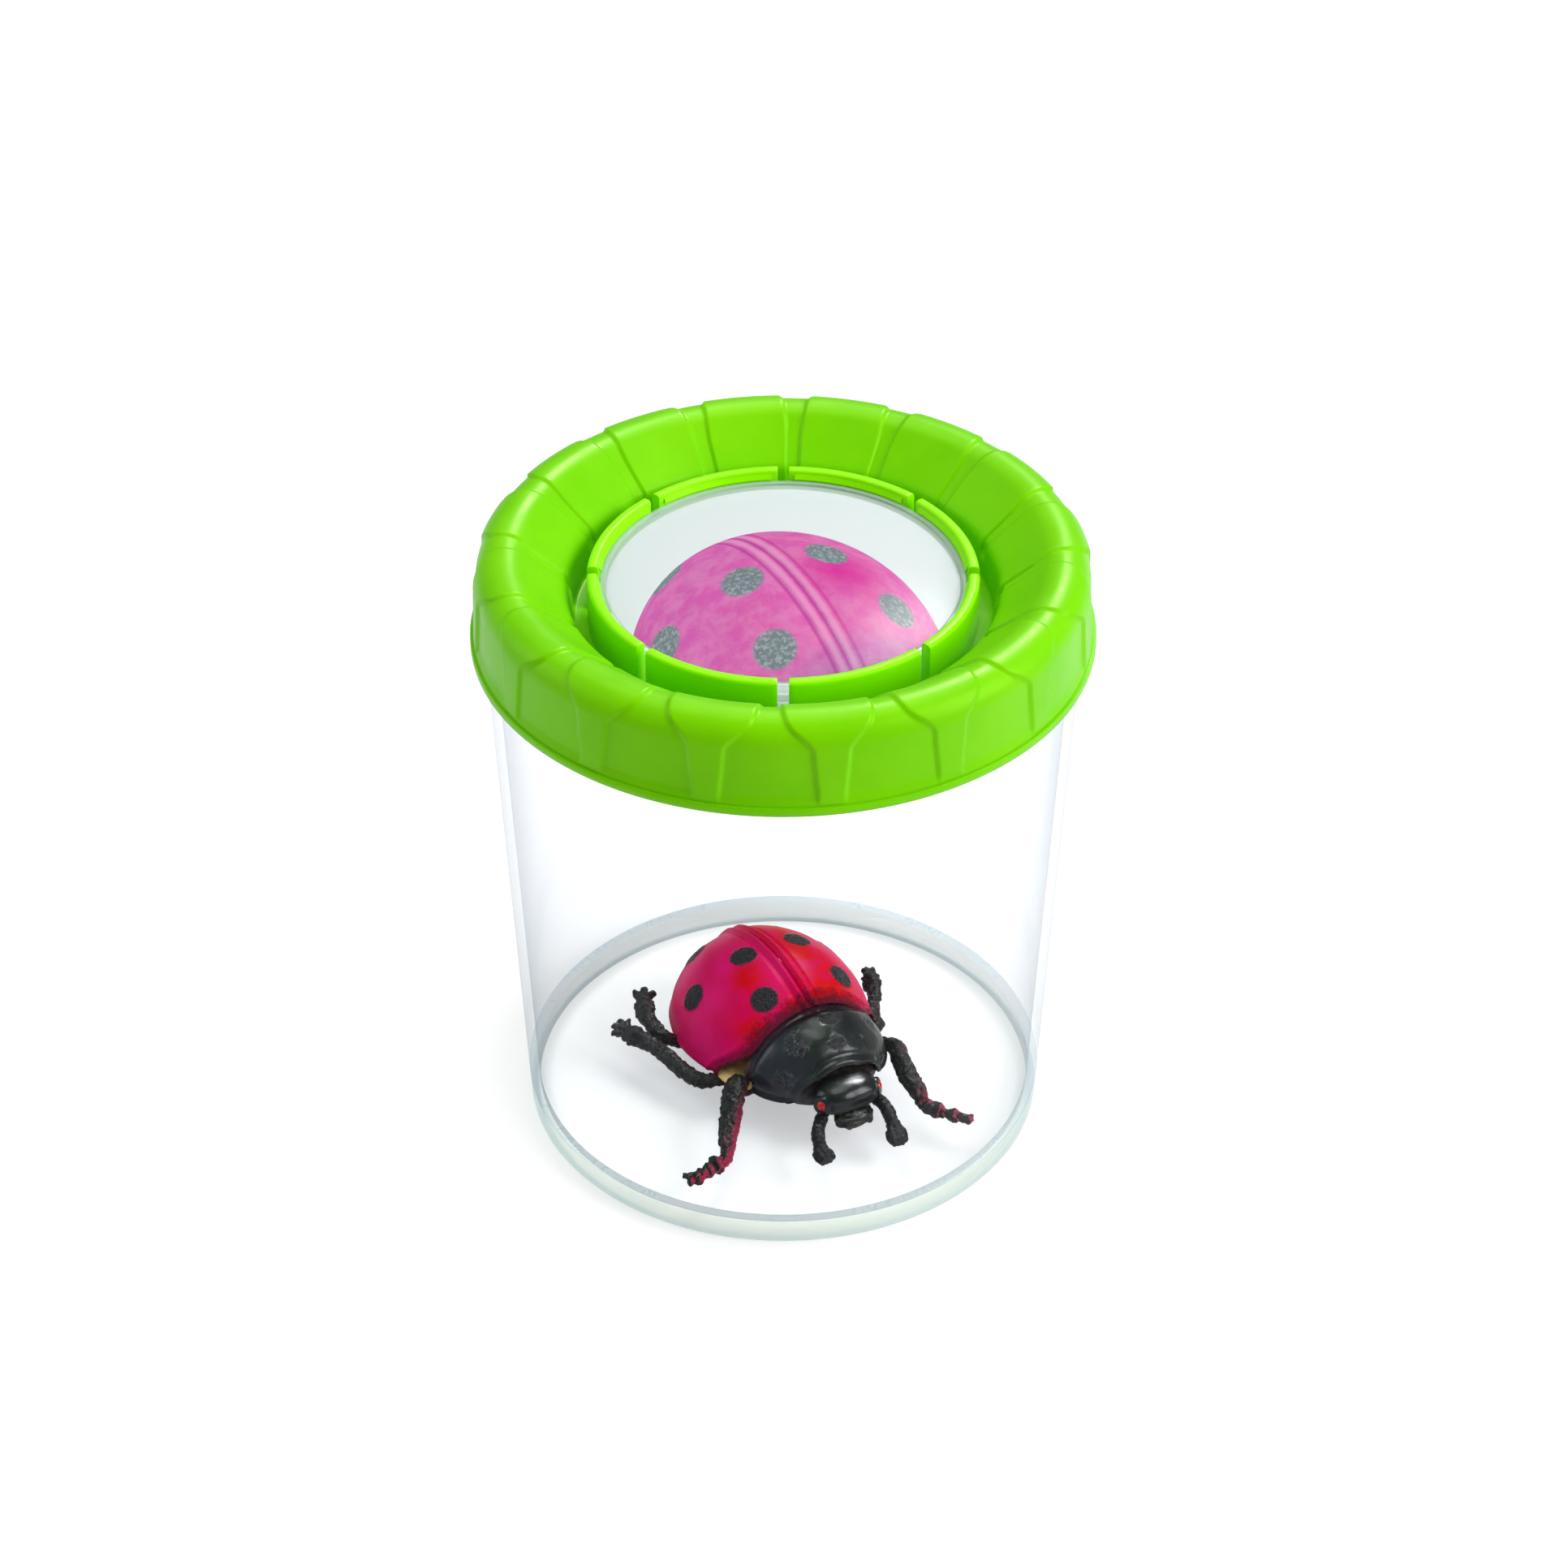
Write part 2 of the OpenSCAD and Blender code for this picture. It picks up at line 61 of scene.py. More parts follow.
# Lid; its heights are above its lower edge
lid_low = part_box("lid_ring")[0].z
lid_place = Matrix.Translation((0, 0, lid_low))
lip_inset = 0.02 * MM
lip_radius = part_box("lid_ring")[1].x - lip_inset
lip_high = 1.7 * MM
lid_wall_radius = lip_radius - 0.5 * MM
bore_radius = lid_wall_radius - 2.25 * MM
crest_radius = 5.3 * MM
crest_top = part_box("lid_ring")[1].z - lid_low
crest_height = crest_top - crest_radius
shell_thick = 1.9 * MM
crest_middle = bore_radius + shell_thick - crest_radius
slope_angle = math.radians(40)
moat_radius = 37.8 * MM
moat_lean = 1 * MM
moat_floor = 3.9 * MM
moat_floor_thick = 1.8 * MM
pad_count = 16
gap_depth = 0.5 * MM
pad_turn = math.radians(-2.6)

# Lens and collar
lens_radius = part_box("magnifier_lens")[1].x
lens_foot = moat_floor
lens_height = 7 * MM
lens_rim_top = lens_foot + lens_height
lens_rim_wide = 2 * MM
lens_edge_thick = 3 * MM
lens_bulge = 2.3 * MM
lens_skirt = 1.5 * MM
rim_step = 0.4 * MM
lens_gap = 0.3 * MM
collar_inside = lens_radius + lens_gap
finger_thick = 2 * MM
finger_over = 1.9 * MM
collar_top = lens_rim_top + finger_over
finger_count = 8
slot_wide = 2 * MM

# Ladybird, in its own frame: +X towards its head, +Y to its left, Z up from its feet
case_half = Vector((21.7, 18.8, 16.4)) * MM
skin_thick = 0.9 * MM
spot_inner = 2.3 * MM
spot_outer = 3.0 * MM
front_cut = 0.68
front_x = case_half.x * front_cut
front_share = math.sqrt(1 - front_cut ** 2)
shield_length = 10.3 * MM
shield_half = Vector((12.36 * MM, case_half.y * front_share * 1.02, case_half.z * front_share * 0.96))
neck_x = front_x + shield_length
head_half = Vector((6.72, 6, 4.32)) * MM
head_x = neck_x + head_half.x * 0.16
head_z = head_half.z * 0.1
belly_lift = 2.9 * MM
leg_thick = 3.8 * MM
feeler_thick = 2.4 * MM
leg_reach = Vector((43.34, 37.62)) * MM
feet_gap = 0.3 * MM
bug_middle = (-1.73 * MM, 5.33 * MM)
bug_turn = math.radians(-61)
body_tilt = math.radians(-3.8)

# Camera, and where the photo shows the tail end of the ladybird's seam: seen straight and through the
# lens, as slopes of the line of sight
camera_place = Vector((0, -0.64075, 0.54058))
camera_tilt = math.radians(53.57)
camera_ahead = Vector((0, math.sin(camera_tilt), -math.cos(camera_tilt)))
camera_up = Vector((0, math.cos(camera_tilt), math.sin(camera_tilt)))
seam_end_straight = Vector((-0.0085, -0.0326))
seam_end_enlarged = Vector((-0.0085, 0.0559))
lens_power = 1.57
focal_length = 101.49
sensor_width = 36

bug_place = Matrix.Translation((*bug_middle, floor_top + feet_gap)) @ Matrix.Rotation(bug_turn, 4, "Z")
body_place = bug_place @ Matrix.Translation((0, 0, belly_lift)) @ Matrix.Rotation(body_tilt, 4, "Y")


# Helpers for shapes
def mm(*sizes):
    """Sizes in millimetres, as metres."""
    return tuple(size * MM for size in sizes)


def smooth_step(low, high, value):
    share = min(max((value - low) / (high - low), 0), 1)
    return share * share * (3 - 2 * share)


def bell(value, middle, width):
    return math.exp(-((value - middle) / width) ** 2)


def deselect():
    bpy.ops.object.select_all(action="DESELECT")


def take(piece):
    """Makes a piece the only selected one."""
    deselect()
    piece.select_set(True)
    bpy.context.view_layer.objects.active = piece


def apply_modifier(piece, kind, **settings):
    take(piece)
    modifier = piece.modifiers.new(kind.lower(), kind)
    for name, value in settings.items():
        setattr(modifier, name, value)
    bpy.ops.object.modifier_apply(modifier=modifier.name)


def tidy_mesh(piece, merge=1e-6):
    """Merges doubles, drops loose points and turns the faces outwards."""
    take(piece)
    bpy.ops.object.mode_set(mode="EDIT")
    bpy.ops.mesh.select_all(action="SELECT")
    bpy.ops.mesh.remove_doubles(threshold=merge)
    bpy.ops.mesh.delete_loose()
    bpy.ops.mesh.select_all(action="SELECT")
    bpy.ops.mesh.normals_make_consistent(inside=False)
    bpy.ops.object.mode_set(mode="OBJECT")


def rounded(corners, steps=4):
    """An outline of (radius, height, rounding) corners, with each rounding drawn as a curve."""
    outline = []
    for i, (radius, height, rounding) in enumerate(corners):
        corner = Vector((radius, height))
        before = Vector(corners[i - 1][:2])
        after = Vector(corners[(i + 1) % len(corners)][:2])
        if rounding == 0:
            outline.append(corner)
            continue
        start = corner + (before - corner).normalized() * rounding
        end = corner + (after - corner).normalized() * rounding
        for k in range(steps + 1):
            t = k / steps
            outline.append(start * (1 - t) ** 2 + corner * 2 * t * (1 - t) + end * t * t)
    return outline


def turned(name, outline, steps=256, sweep=360.0, start=0.0):
    """A round piece: a closed outline of (radius, height) points, spun about the jar's axis."""
    deselect()
    bpy.ops.mesh.primitive_circle_add(vertices=len(outline), fill_type="NOTHING", location=(0, 0, 0))
    piece = bpy.context.object
    piece.name = name
    facing = math.radians(start)
    for vertex, point in zip(piece.data.vertices, outline):
        vertex.co = (point[0] * math.cos(facing), point[0] * math.sin(facing), point[1])
    bpy.ops.object.mode_set(mode="EDIT")
    bpy.ops.mesh.select_all(action="SELECT")
    bpy.ops.mesh.spin(steps=steps, angle=-math.radians(sweep), center=(0, 0, 0), axis=(0, 0, 1))
    if sweep < 360:
        bpy.ops.mesh.select_all(action="DESELECT")
        bpy.ops.mesh.select_mode(type="EDGE")
        bpy.ops.mesh.select_non_manifold(use_wire=False, use_multi_face=False, use_verts=False)
        bpy.ops.mesh.fill_holes(sides=0)
        bpy.ops.mesh.select_mode(type="VERT")
    bpy.ops.object.mode_set(mode="OBJECT")
    tidy_mesh(piece)
    return piece


def draped(name, columns, rows, point_at):
    """A grid whose points go where point_at(across, along) puts them, both from 0 to 1."""
    deselect()
    bpy.ops.mesh.primitive_grid_add(x_subdivisions=columns, y_subdivisions=rows, size=2)
    piece = bpy.context.object
    piece.name = name
    for vertex in piece.data.vertices:
        vertex.co = point_at((vertex.co.x + 1) / 2, (vertex.co.y + 1) / 2)
    tidy_mesh(piece)
    return piece


def thicken(piece, thick, outwards):
    """Gives an open shell its thickness on the inside; outwards is a direction its faces look in."""
    total = sum((face.normal * face.area for face in piece.data.polygons), Vector())
    if total.dot(outwards) < 0:
        piece.data.flip_normals()
    apply_modifier(piece, "SOLIDIFY", thickness=thick, offset=-1, use_rim=True)


def joined(name, pieces):
    deselect()
    for piece in pieces:
        piece.select_set(True)
    bpy.context.view_layer.objects.active = pieces[0]
    bpy.ops.object.join()
    pieces[0].name = name
    return pieces[0]


def melted(name, lumps, voxel_size, smoothings):
    """Lumps as one closed skin, built of cubes of this size and smoothed this often."""
    piece = joined(name, lumps)
    apply_modifier(piece, "REMESH", mode="VOXEL", voxel_size=voxel_size)
    apply_modifier(piece, "SMOOTH", factor=0.5, iterations=smoothings)
    return piece


def finished(piece, body, nodes, materials, place=None, sharp=40):
    """Puts a piece at its place, gives it its materials and hands it to the frame."""
    if place is not None:
        piece.data.transform(place)
    piece.data.materials.clear()
    for material in materials:
        piece.data.materials.append(material)
    take(piece)
    bpy.ops.object.shade_smooth_by_angle(angle=math.radians(sharp))
    piece.data.name = piece.name
    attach(piece, body)
    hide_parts(*nodes)
    return piece


def finished_faces(piece, body, nodes, materials, place=None):
    """Finishes a piece whose faces already say which of its materials they have."""
    indices = [face.material_index for face in piece.data.polygons]
    finished(piece, body, nodes, materials, place)
    for face, index in zip(piece.data.polygons, indices):
        face.material_index = index


# Helpers for materials
def colour_value(colour):
    """A colour as a shader's socket takes it; another node's socket stays as it is."""
    return colour if isinstance(colour, bpy.types.NodeSocket) else (*colour, 1)


class Nodes:
    """Short calls that add nodes to a tree."""

    def __init__(self, tree):
        self.tree = tree

    def node(self, kind, inputs=None, **settings):
        made = self.tree.nodes.new(kind)
        for name, value in settings.items():
            setattr(made, name, value)
        for name, value in (inputs or {}).items():
            socket = made.inputs[name]
            if isinstance(value, bpy.types.NodeSocket):
                self.tree.links.new(value, socket)
            else:
                socket.default_value = value
        return made

    def sum(self, kind, first, second=0.0, third=0.0):
        """A Math node of this kind."""
        return self.node("ShaderNodeMath", {0: first, 1: second, 2: third}, operation=kind).outputs[0]

    def times(self, first, second):
        return self.sum("MULTIPLY", first, second)

    def plus(self, first, second):
        return self.sum("ADD", first, second)

    def most(self, *values):
        """The highest of these values."""
        highest = values[0]
        for value in values[1:]:
            highest = self.sum("MAXIMUM", highest, value)
        return highest

    def seen_rays(self):
        """1 for rays that the camera sends, also through a clear piece, and 0 for all others."""
        path = self.node("ShaderNodeLightPath").outputs
        return self.most(path["Is Camera Ray"], path["Is Transmission Ray"])


class Finish(Nodes):
    """One material, whose patterns are laid out at a place or else in the jar's frame."""

    def __init__(self, name, place=None):
        self.material = bpy.data.materials.new(name)
        self.material.use_nodes = True
        super().__init__(self.material.node_tree)
        self.tree.nodes.clear()
        self.output = self.node("ShaderNodeOutputMaterial")
        self.here = self.node("ShaderNodeTexCoord").outputs["Object"]
        if place is not None:
            self.here = self.node("ShaderNodeMapping", {
                "Vector": self.here,
                "Location": place.to_translation(),
                "Rotation": place.to_euler("XYZ"),
            }, vector_type="TEXTURE").outputs["Vector"]

    def vector(self, kind, first, second=(0, 0, 0), scale=1.0):
        """A Vector Math node of this kind."""
        made = self.node("ShaderNodeVectorMath", {0: first, 1: second, 3: scale}, operation=kind)
        return made.outputs["Value" if kind in ("DOT_PRODUCT", "LENGTH", "DISTANCE") else "Vector"]

    def axes(self, vector=None):
        split = self.node("ShaderNodeSeparateXYZ", {0: vector or self.here})
        return split.outputs[0], split.outputs[1], split.outputs[2]

    def grain(self, size, detail=3.0, rough=0.5, vector=None):
        """Soft noise from 0 to 1 with patches of this size."""
        return self.node("ShaderNodeTexNoise", {
            "Vector": vector or self.here, "Scale": 1 / size, "Detail": detail, "Roughness": rough,
        }).outputs["Fac"]

    def cells(self, size, feature="F1", vector=None):
        """Distance inside a pattern of cells of this size."""
        return self.node("ShaderNodeTexVoronoi", {
            "Vector": vector or self.here, "Scale": 1 / size,
        }, feature=feature).outputs["Distance"]

    def span(self, value, low, high, at_low=0.0, at_high=1.0):
        """Maps low..high smoothly onto at_low..at_high."""
        return self.node("ShaderNodeMapRange", {
            "Value": value, "From Min": low, "From Max": high, "To Min": at_low, "To Max": at_high,
        }, interpolation_type="SMOOTHSTEP").outputs["Result"]

    def near(self, centre, inner, outer, vector=None):
        """1 within the inner distance of a point, 0 past the outer."""
        return self.span(self.vector("DISTANCE", vector or self.here, centre), inner, outer, 1.0, 0.0)

    def mix(self, share, first, second):
        """A mix of two colours."""
        blend = self.node("ShaderNodeMix", {
            "Factor": share, 6: colour_value(first), 7: colour_value(second),
        }, data_type="RGBA")
        return blend.outputs[2]

    def bump(self, height, depth, strength=1.0, below=None):
        """A bump whose height of 1 stands for this depth."""
        inputs = {"Height": height, "Distance": depth, "Strength": strength}
        if below is not None:
            inputs["Normal"] = below
        return self.node("ShaderNodeBump", inputs).outputs["Normal"]

    def paint(self, colour, rough, normal=None, **constants):
        """A Principled shader."""
        inputs = {"Roughness": rough, "Base Color": colour_value(colour)}
        if normal is not None:
            inputs["Normal"] = normal
        for name, value in constants.items():
            inputs[name.replace("_", " ")] = value
        return self.node("ShaderNodeBsdfPrincipled", inputs).outputs[0]

    def shader_mix(self, share, first, second):
        return self.node("ShaderNodeMixShader", {0: share, 1: first, 2: second}).outputs[0]

    def clear(self, colour):
        return self.node("ShaderNodeBsdfTransparent", {"Color": colour_value(colour)}).outputs[0]

    def done(self, shader):
        self.tree.links.new(shader, self.output.inputs["Surface"])
        return self.material

    def done_clear(self, seen, shadow_tint):
        """A clear material, which tints the light that passes through it and casts no dark shadow."""
        shadow = self.node("ShaderNodeLightPath").outputs["Is Shadow Ray"]
        return self.done(self.shader_mix(shadow, seen, self.clear(shadow_tint)))


def lid_plastic(name, dark, light):
    """Apple green moulded plastic with a soft satin gloss."""
    f = Finish(name)
    colour = f.mix(f.span(f.grain(14 * MM), 0.35, 0.65), dark, light)
    rough = f.span(f.grain(5 * MM), 0.3, 0.7, 0.32, 0.40)
    fine = f.bump(f.grain(0.5 * MM, 2.0), 0.006 * MM)
    flow = f.bump(f.grain(9 * MM, 1.0), 0.05 * MM, below=fine)
    return f.done(f.paint(colour, rough, flow, Specular_IOR_Level=0.32, Specular_Tint=(0.7, 1, 0.12, 1)))


def clear_plastic(name, tint, edge_tint, gloss, painted_haze=0.0, painted_haze_colour=(0.8, 0.85, 0.85)):
    """Thin clear plastic that darkens where it is seen edge on. Shadows pass through it."""
    f = Finish(name)
    facing = f.node("ShaderNodeLayerWeight", {"Blend": 0.5}).outputs["Facing"]
    edge = f.span(facing, 0.55, 1.0)
    body = f.clear(f.mix(edge, tint, edge_tint))
    fine = f.bump(f.grain(11 * MM, 1.0), 0.03 * MM)
    shine = f.node("ShaderNodeBsdfGlossy", {"Roughness": 0.04, "Normal": fine}).outputs[0]
    mirror = f.sum("POWER", facing, 4.0)
    seen = f.shader_mix(f.times(mirror, gloss), body, shine)
    # Painted haze: a lit colour laid over the clear view.
    if painted_haze:
        seen = f.shader_mix(painted_haze, seen, f.paint(painted_haze_colour, 0.25))
    return f.done_clear(seen, (0.99, 0.995, 0.995))


def bent_sight(f):
    """Where the lens's view meets the wing cases: the point, and 1 where it meets them or else 0.

    A line of sight is made less steep about the seam's tail end by the lens's power, and then met
    with the ellipsoid of the wing cases.
    """
    away = f.vector("SUBTRACT", f.here, camera_place)
    depth = f.vector("DOT_PRODUCT", away, camera_ahead)
    start = seam_end_straight - seam_end_enlarged / lens_power
    across = f.sum("DIVIDE", f.axes(away)[0], depth)
    across = f.sum("MULTIPLY_ADD", across, 1 / lens_power, start.x)
    above = f.sum("DIVIDE", f.vector("DOT_PRODUCT", away, camera_up), depth)
    above = f.sum("MULTIPLY_ADD", above, 1 / lens_power, start.y)
    sight = f.vector("ADD", f.vector("SCALE", (1, 0, 0), scale=across), camera_ahead)
    sight = f.vector("ADD", f.vector("SCALE", camera_up, scale=above), sight)
    middle = body_place.to_translation()
    near = f.vector("SCALE", sight, scale=(middle - camera_place).dot(camera_ahead))
    near = f.vector("ADD", near, camera_place)
    turn = body_place.to_euler("XYZ")
    origin = f.node("ShaderNodeMapping", {
        "Vector": near, "Location": middle, "Rotation": turn, "Scale": case_half,
    }, vector_type="TEXTURE").outputs["Vector"]
    course = f.node("ShaderNodeMapping", {
        "Vector": sight, "Rotation": turn, "Scale": case_half,
    }, vector_type="TEXTURE").outputs["Vector"]
    square = f.vector("DOT_PRODUCT", course, course)
    half_linear = f.vector("DOT_PRODUCT", origin, course)
    constant = f.sum("SUBTRACT", f.vector("DOT_PRODUCT", origin, origin), 1.0)
    inside = f.sum("SUBTRACT", f.times(half_linear, half_linear), f.times(square, constant))
    meets = f.sum("GREATER_THAN", inside, 0.0)
    reach = f.plus(half_linear, f.sum("SQRT", f.most(inside, 0.0)))
    reach = f.sum("DIVIDE", f.times(reach, -1.0), square)
    return f.vector("ADD", near, f.vector("SCALE", sight, scale=reach)), meets


def enlarged_paint(f, on_case, meets):
    """A painted picture of the enlarged wing cases as the lens shows them, light and shade included:
    rosy, with their seam, a hot area and the spots, and grey floor where the view misses them.
    """
    from_middle = f.vector("SUBTRACT", on_case, body_place.to_translation())
    from_seam = f.sum("ABSOLUTE", f.vector("DOT_PRODUCT", from_middle, body_place.col[1].to_3d()))
    ridge_highlight = f.times(f.span(from_seam, 0.35 * MM, 0.6 * MM), f.span(from_seam, 1.4 * MM, 1.0 * MM))
    beside = f.times(f.span(from_seam, 1.4 * MM, 1.7 * MM), f.span(from_seam, 2.2 * MM, 1.8 * MM))
    groove_shade = f.most(f.span(from_seam, 0.30 * MM, 0.10 * MM), beside)
    blotch = f.span(f.grain(3 * MM, 5.0, 0.65, on_case), 0.35, 0.65)
    hot = f.near(body_place @ (Vector((2, 6, 14)) * MM), 1 * MM, 7.5 * MM, on_case)
    spot = f.most(*[f.near(body_place @ centre, spot_inner, spot_outer, on_case)
                    for centre in all_spots])
    speck = f.span(f.grain(0.55 * MM, 4.0, 0.7, on_case), 0.45, 0.65)
    rosy = f.mix(blotch, (0.70, 0.16, 0.56), (0.76, 0.28, 0.63))
    rosy = f.mix(f.times(hot, 0.8), rosy, (0.66, 0.02, 0.42))
    # Painted highlight on the seam's ridge, and painted shade in its grooves.
    rosy = f.mix(f.times(ridge_highlight, 0.7), rosy, (0.88, 0.45, 0.76))
    rosy = f.mix(f.times(groove_shade, 0.7), rosy, (0.52, 0.05, 0.40))
    rosy = f.mix(spot, rosy, f.mix(speck, (0.24, 0.30, 0.32), (0.50, 0.57, 0.60)))
    colour = f.mix(meets, (0.56, 0.61, 0.61), rosy)
    return f.paint(colour, 0.2, f.bump(f.grain(9 * MM, 1.0), 0.02 * MM), Specular_IOR_Level=0.08)


def lens_plastic():
    """Clear plastic that shows an enlarged view of the wing cases, as the photo does.

    A ray from the camera is bent towards the point of the wing cases that belongs there. One that
    passes them by goes to the plain floor behind them. A veil of paint with the same view lies over
    that, so that the lens shows it from other directions too. All other rays pass straight through.
    """
    f = Finish("lens_enlarging")
    on_case, meets = bent_sight(f)
    behind = f.vector("ADD", f.vector("MULTIPLY", f.here, (0.6, 0, 0)), (0, 38 * MM, floor_top))
    past = f.vector("SUBTRACT", on_case, behind)
    goal = f.vector("ADD", behind, f.vector("SCALE", past, scale=meets))
    bent = f.vector("NORMALIZE", f.vector("SUBTRACT", goal, f.here))
    bend_index = 8.0
    arriving = f.vector("NORMALIZE", f.vector("SUBTRACT", f.here, camera_place))
    facing = f.vector("SUBTRACT", arriving, f.vector("SCALE", bent, scale=bend_index))
    view = f.node("ShaderNodeBsdfRefraction", {
        "Color": (0.73, 0.77, 0.76, 1), "Roughness": 0.0, "IOR": bend_index,
        "Normal": f.vector("NORMALIZE", facing),
    }).outputs[0]
    veil_share = 0.55
    view = f.shader_mix(veil_share, view, enlarged_paint(f, on_case, meets))
    from_camera = f.node("ShaderNodeLightPath").outputs["Is Camera Ray"]
    return f.done_clear(f.shader_mix(from_camera, f.clear((0.95, 0.97, 0.97)), view), (0.97, 0.98, 0.98))


def foot_plastic():
    """Thick clear plastic seen edge on: pale green-grey on its side, bluish on its top face, and lighter
    on its inward faces as painted light.
    """
    f = Finish("clear_foot")
    normal = f.node("ShaderNodeTexCoord").outputs["Normal"]
    up = f.span(f.axes(normal)[2], 0.3, 0.8)
    outwards = f.vector("NORMALIZE", f.vector("MULTIPLY", f.here, (1, 1, 0)))
    # Painted light: faces that look inwards, as the ring's far side does, are lighter, to lift the shade
    # on them inside the jar.
    inner = f.span(f.vector("DOT_PRODUCT", normal, outwards), 0.1, -0.3)
    tint = f.mix(inner, (0.915, 0.945, 0.915), (0.965, 0.985, 0.975))
    tint = f.mix(up, tint, (0.86, 0.93, 0.96))
    cloud = f.grain(16 * MM, 2.0)
    side = f.mix(f.span(cloud, 0.35, 0.65), (0.77, 0.85, 0.78), (0.84, 0.90, 0.83))
    side = f.mix(inner, side, (0.95, 0.97, 0.955))
    colour = f.mix(up, side, (0.66, 0.82, 0.90))
    milky = f.paint(colour, 0.18, f.bump(cloud, 0.05 * MM), Specular_IOR_Level=0.3)
    return f.done_clear(f.shader_mix(0.20, f.clear(tint), milky), (0.70, 0.72, 0.71))


def case_spots():
    """Spot centres on the wing cases, in the body's frame, as places in plan."""
    plan = [(8.8, 10.3), (9.7, -6.9), (-1.9, 6.6), (-1.6, -5.1), (-4.6, 15.2), (-2.8, -15.3),
            (-14.4, 8.9), (-14.6, -8.7)]
    spots = []
    for x, y in plan:
        share = 1 - (x * MM / case_half.x) ** 2 - (y * MM / case_half.y) ** 2
        spots.append(Vector((x * MM, y * MM, case_half.z * math.sqrt(max(share, 0.02)))))
    return spots


all_spots = case_spots()


def case_paint():
    """Crimson paint with red glows and rough black spots, with painted shade at the edge towards the
    shield, along the lower edge and in the seam's groove, and a painted pale sheen along the seam.
    """
    f = Finish("case_red", body_place)
    x, y, z = f.axes()
    colour = f.mix(f.span(f.grain(7 * MM, 4.0), 0.35, 0.7), (0.65, 0.000, 0.085), (0.76, 0.003, 0.150))
    glow = f.times(f.span(y, -3 * MM, 3 * MM), f.span(y, 16 * MM, 7 * MM))
    for centre, reach in (((4, -7, 15), 6), ((11, -10, 9), 6.5), ((13, -2, 11), 6)):
        glow = f.most(glow, f.near(Vector(centre) * MM, 1 * MM, reach * MM))
    glow = f.times(glow, f.span(f.grain(3.5 * MM, 4.0), 0.25, 0.6))
    colour = f.mix(glow, colour, (0.66, 0.000, 0.002))
    # Painted sheen: blotches of paler pink, strongest along the seam and on the cases' right side.
    painted_sheen = f.times(f.span(f.grain(2.2 * MM, 5.0, 0.65), 0.5, 0.75),
                   f.span(f.sum("ABSOLUTE", y), 1.2 * MM, 5 * MM, 0.8, 0.25))
    painted_sheen = f.times(painted_sheen, f.span(y, -3 * MM, 6 * MM, 1.0, 0.3))
    colour = f.mix(f.times(painted_sheen, 0.55), colour, (0.74, 0.02, 0.20))
    streak = f.grain(1.1 * MM, 5.0, 0.7)
    ahead = f.plus(x, f.span(z, 0, 7 * MM, 5 * MM, 0.0))
    ragged_front = f.plus(ahead, f.times(streak, 5 * MM))
    # Painted shade where the cases meet the shield: ragged, and reaching further forward lower down.
    painted_shade = f.span(ragged_front, front_x - 0.8 * MM, front_x + 2.4 * MM)
    # Painted shade along the lower edge of the cases' front half, next to the belly.
    low = f.span(f.plus(z, f.times(streak, 2 * MM)), 0.4 * MM, 2.4 * MM, 0.75, 0.0)
    low = f.times(low, f.span(x, 1 * MM, 9 * MM))
    painted_shade = f.most(f.times(painted_shade, 0.85), low)
    colour = f.mix(painted_shade, colour, (0.035, 0.008, 0.016))
    # Painted shade in the seam's groove.
    groove_shade = f.span(f.sum("ABSOLUTE", y), 0.06 * MM, 0.35 * MM, 0.4, 0.0)
    colour = f.mix(groove_shade, colour, (0.25, 0.0, 0.02))
    ragged = f.times(f.sum("SUBTRACT", f.grain(0.8 * MM, 4.0), 0.5), 0.9 * MM)
    reaches = [f.plus(f.vector("DISTANCE", f.here, centre), ragged) for centre in all_spots]
    spot = f.most(*[f.span(away, 2.35 * MM, spot_outer, 1.0, 0.0) for away in reaches])
    pits = f.cells(0.42 * MM)
    black = f.mix(f.span(pits, 0.1, 0.5), (0.007, 0.008, 0.010), (0.026, 0.032, 0.035))
    colour = f.mix(spot, colour, black)
    gloss = f.span(spot, 0.0, 1.0, 0.40, 0.30)
    smooth = f.bump(f.grain(2.4 * MM, 3.0), 0.05 * MM)
    wrinkled = f.bump(f.times(painted_shade, streak), 0.7 * MM, below=smooth)
    crust = f.times(spot, f.times(pits, f.grain(0.5 * MM, 4.0)))
    rough = f.bump(crust, 0.5 * MM, below=wrinkled)
    return f.done(f.paint(colour, gloss, rough, Specular_IOR_Level=0.12,
                          Specular_Tint=(1, 0.25, 0.45, 1)))


# Rough patches of the neck shield, in the body's frame, in mm: centre and reach
shield_patches = [
    ((17.6, 2.4, 11.2), 2.6), ((19.6, -5.6, 8.6), 2.9), ((21.8, 1.2, 7.6), 2.4), ((21.0, 6.0, 6.2), 2.0),
    ((21.5, -9.2, 3.4), 2.6), ((18.0, 9.6, 6.0), 2.2), ((22.6, 9.4, 2.2), 1.8),
]


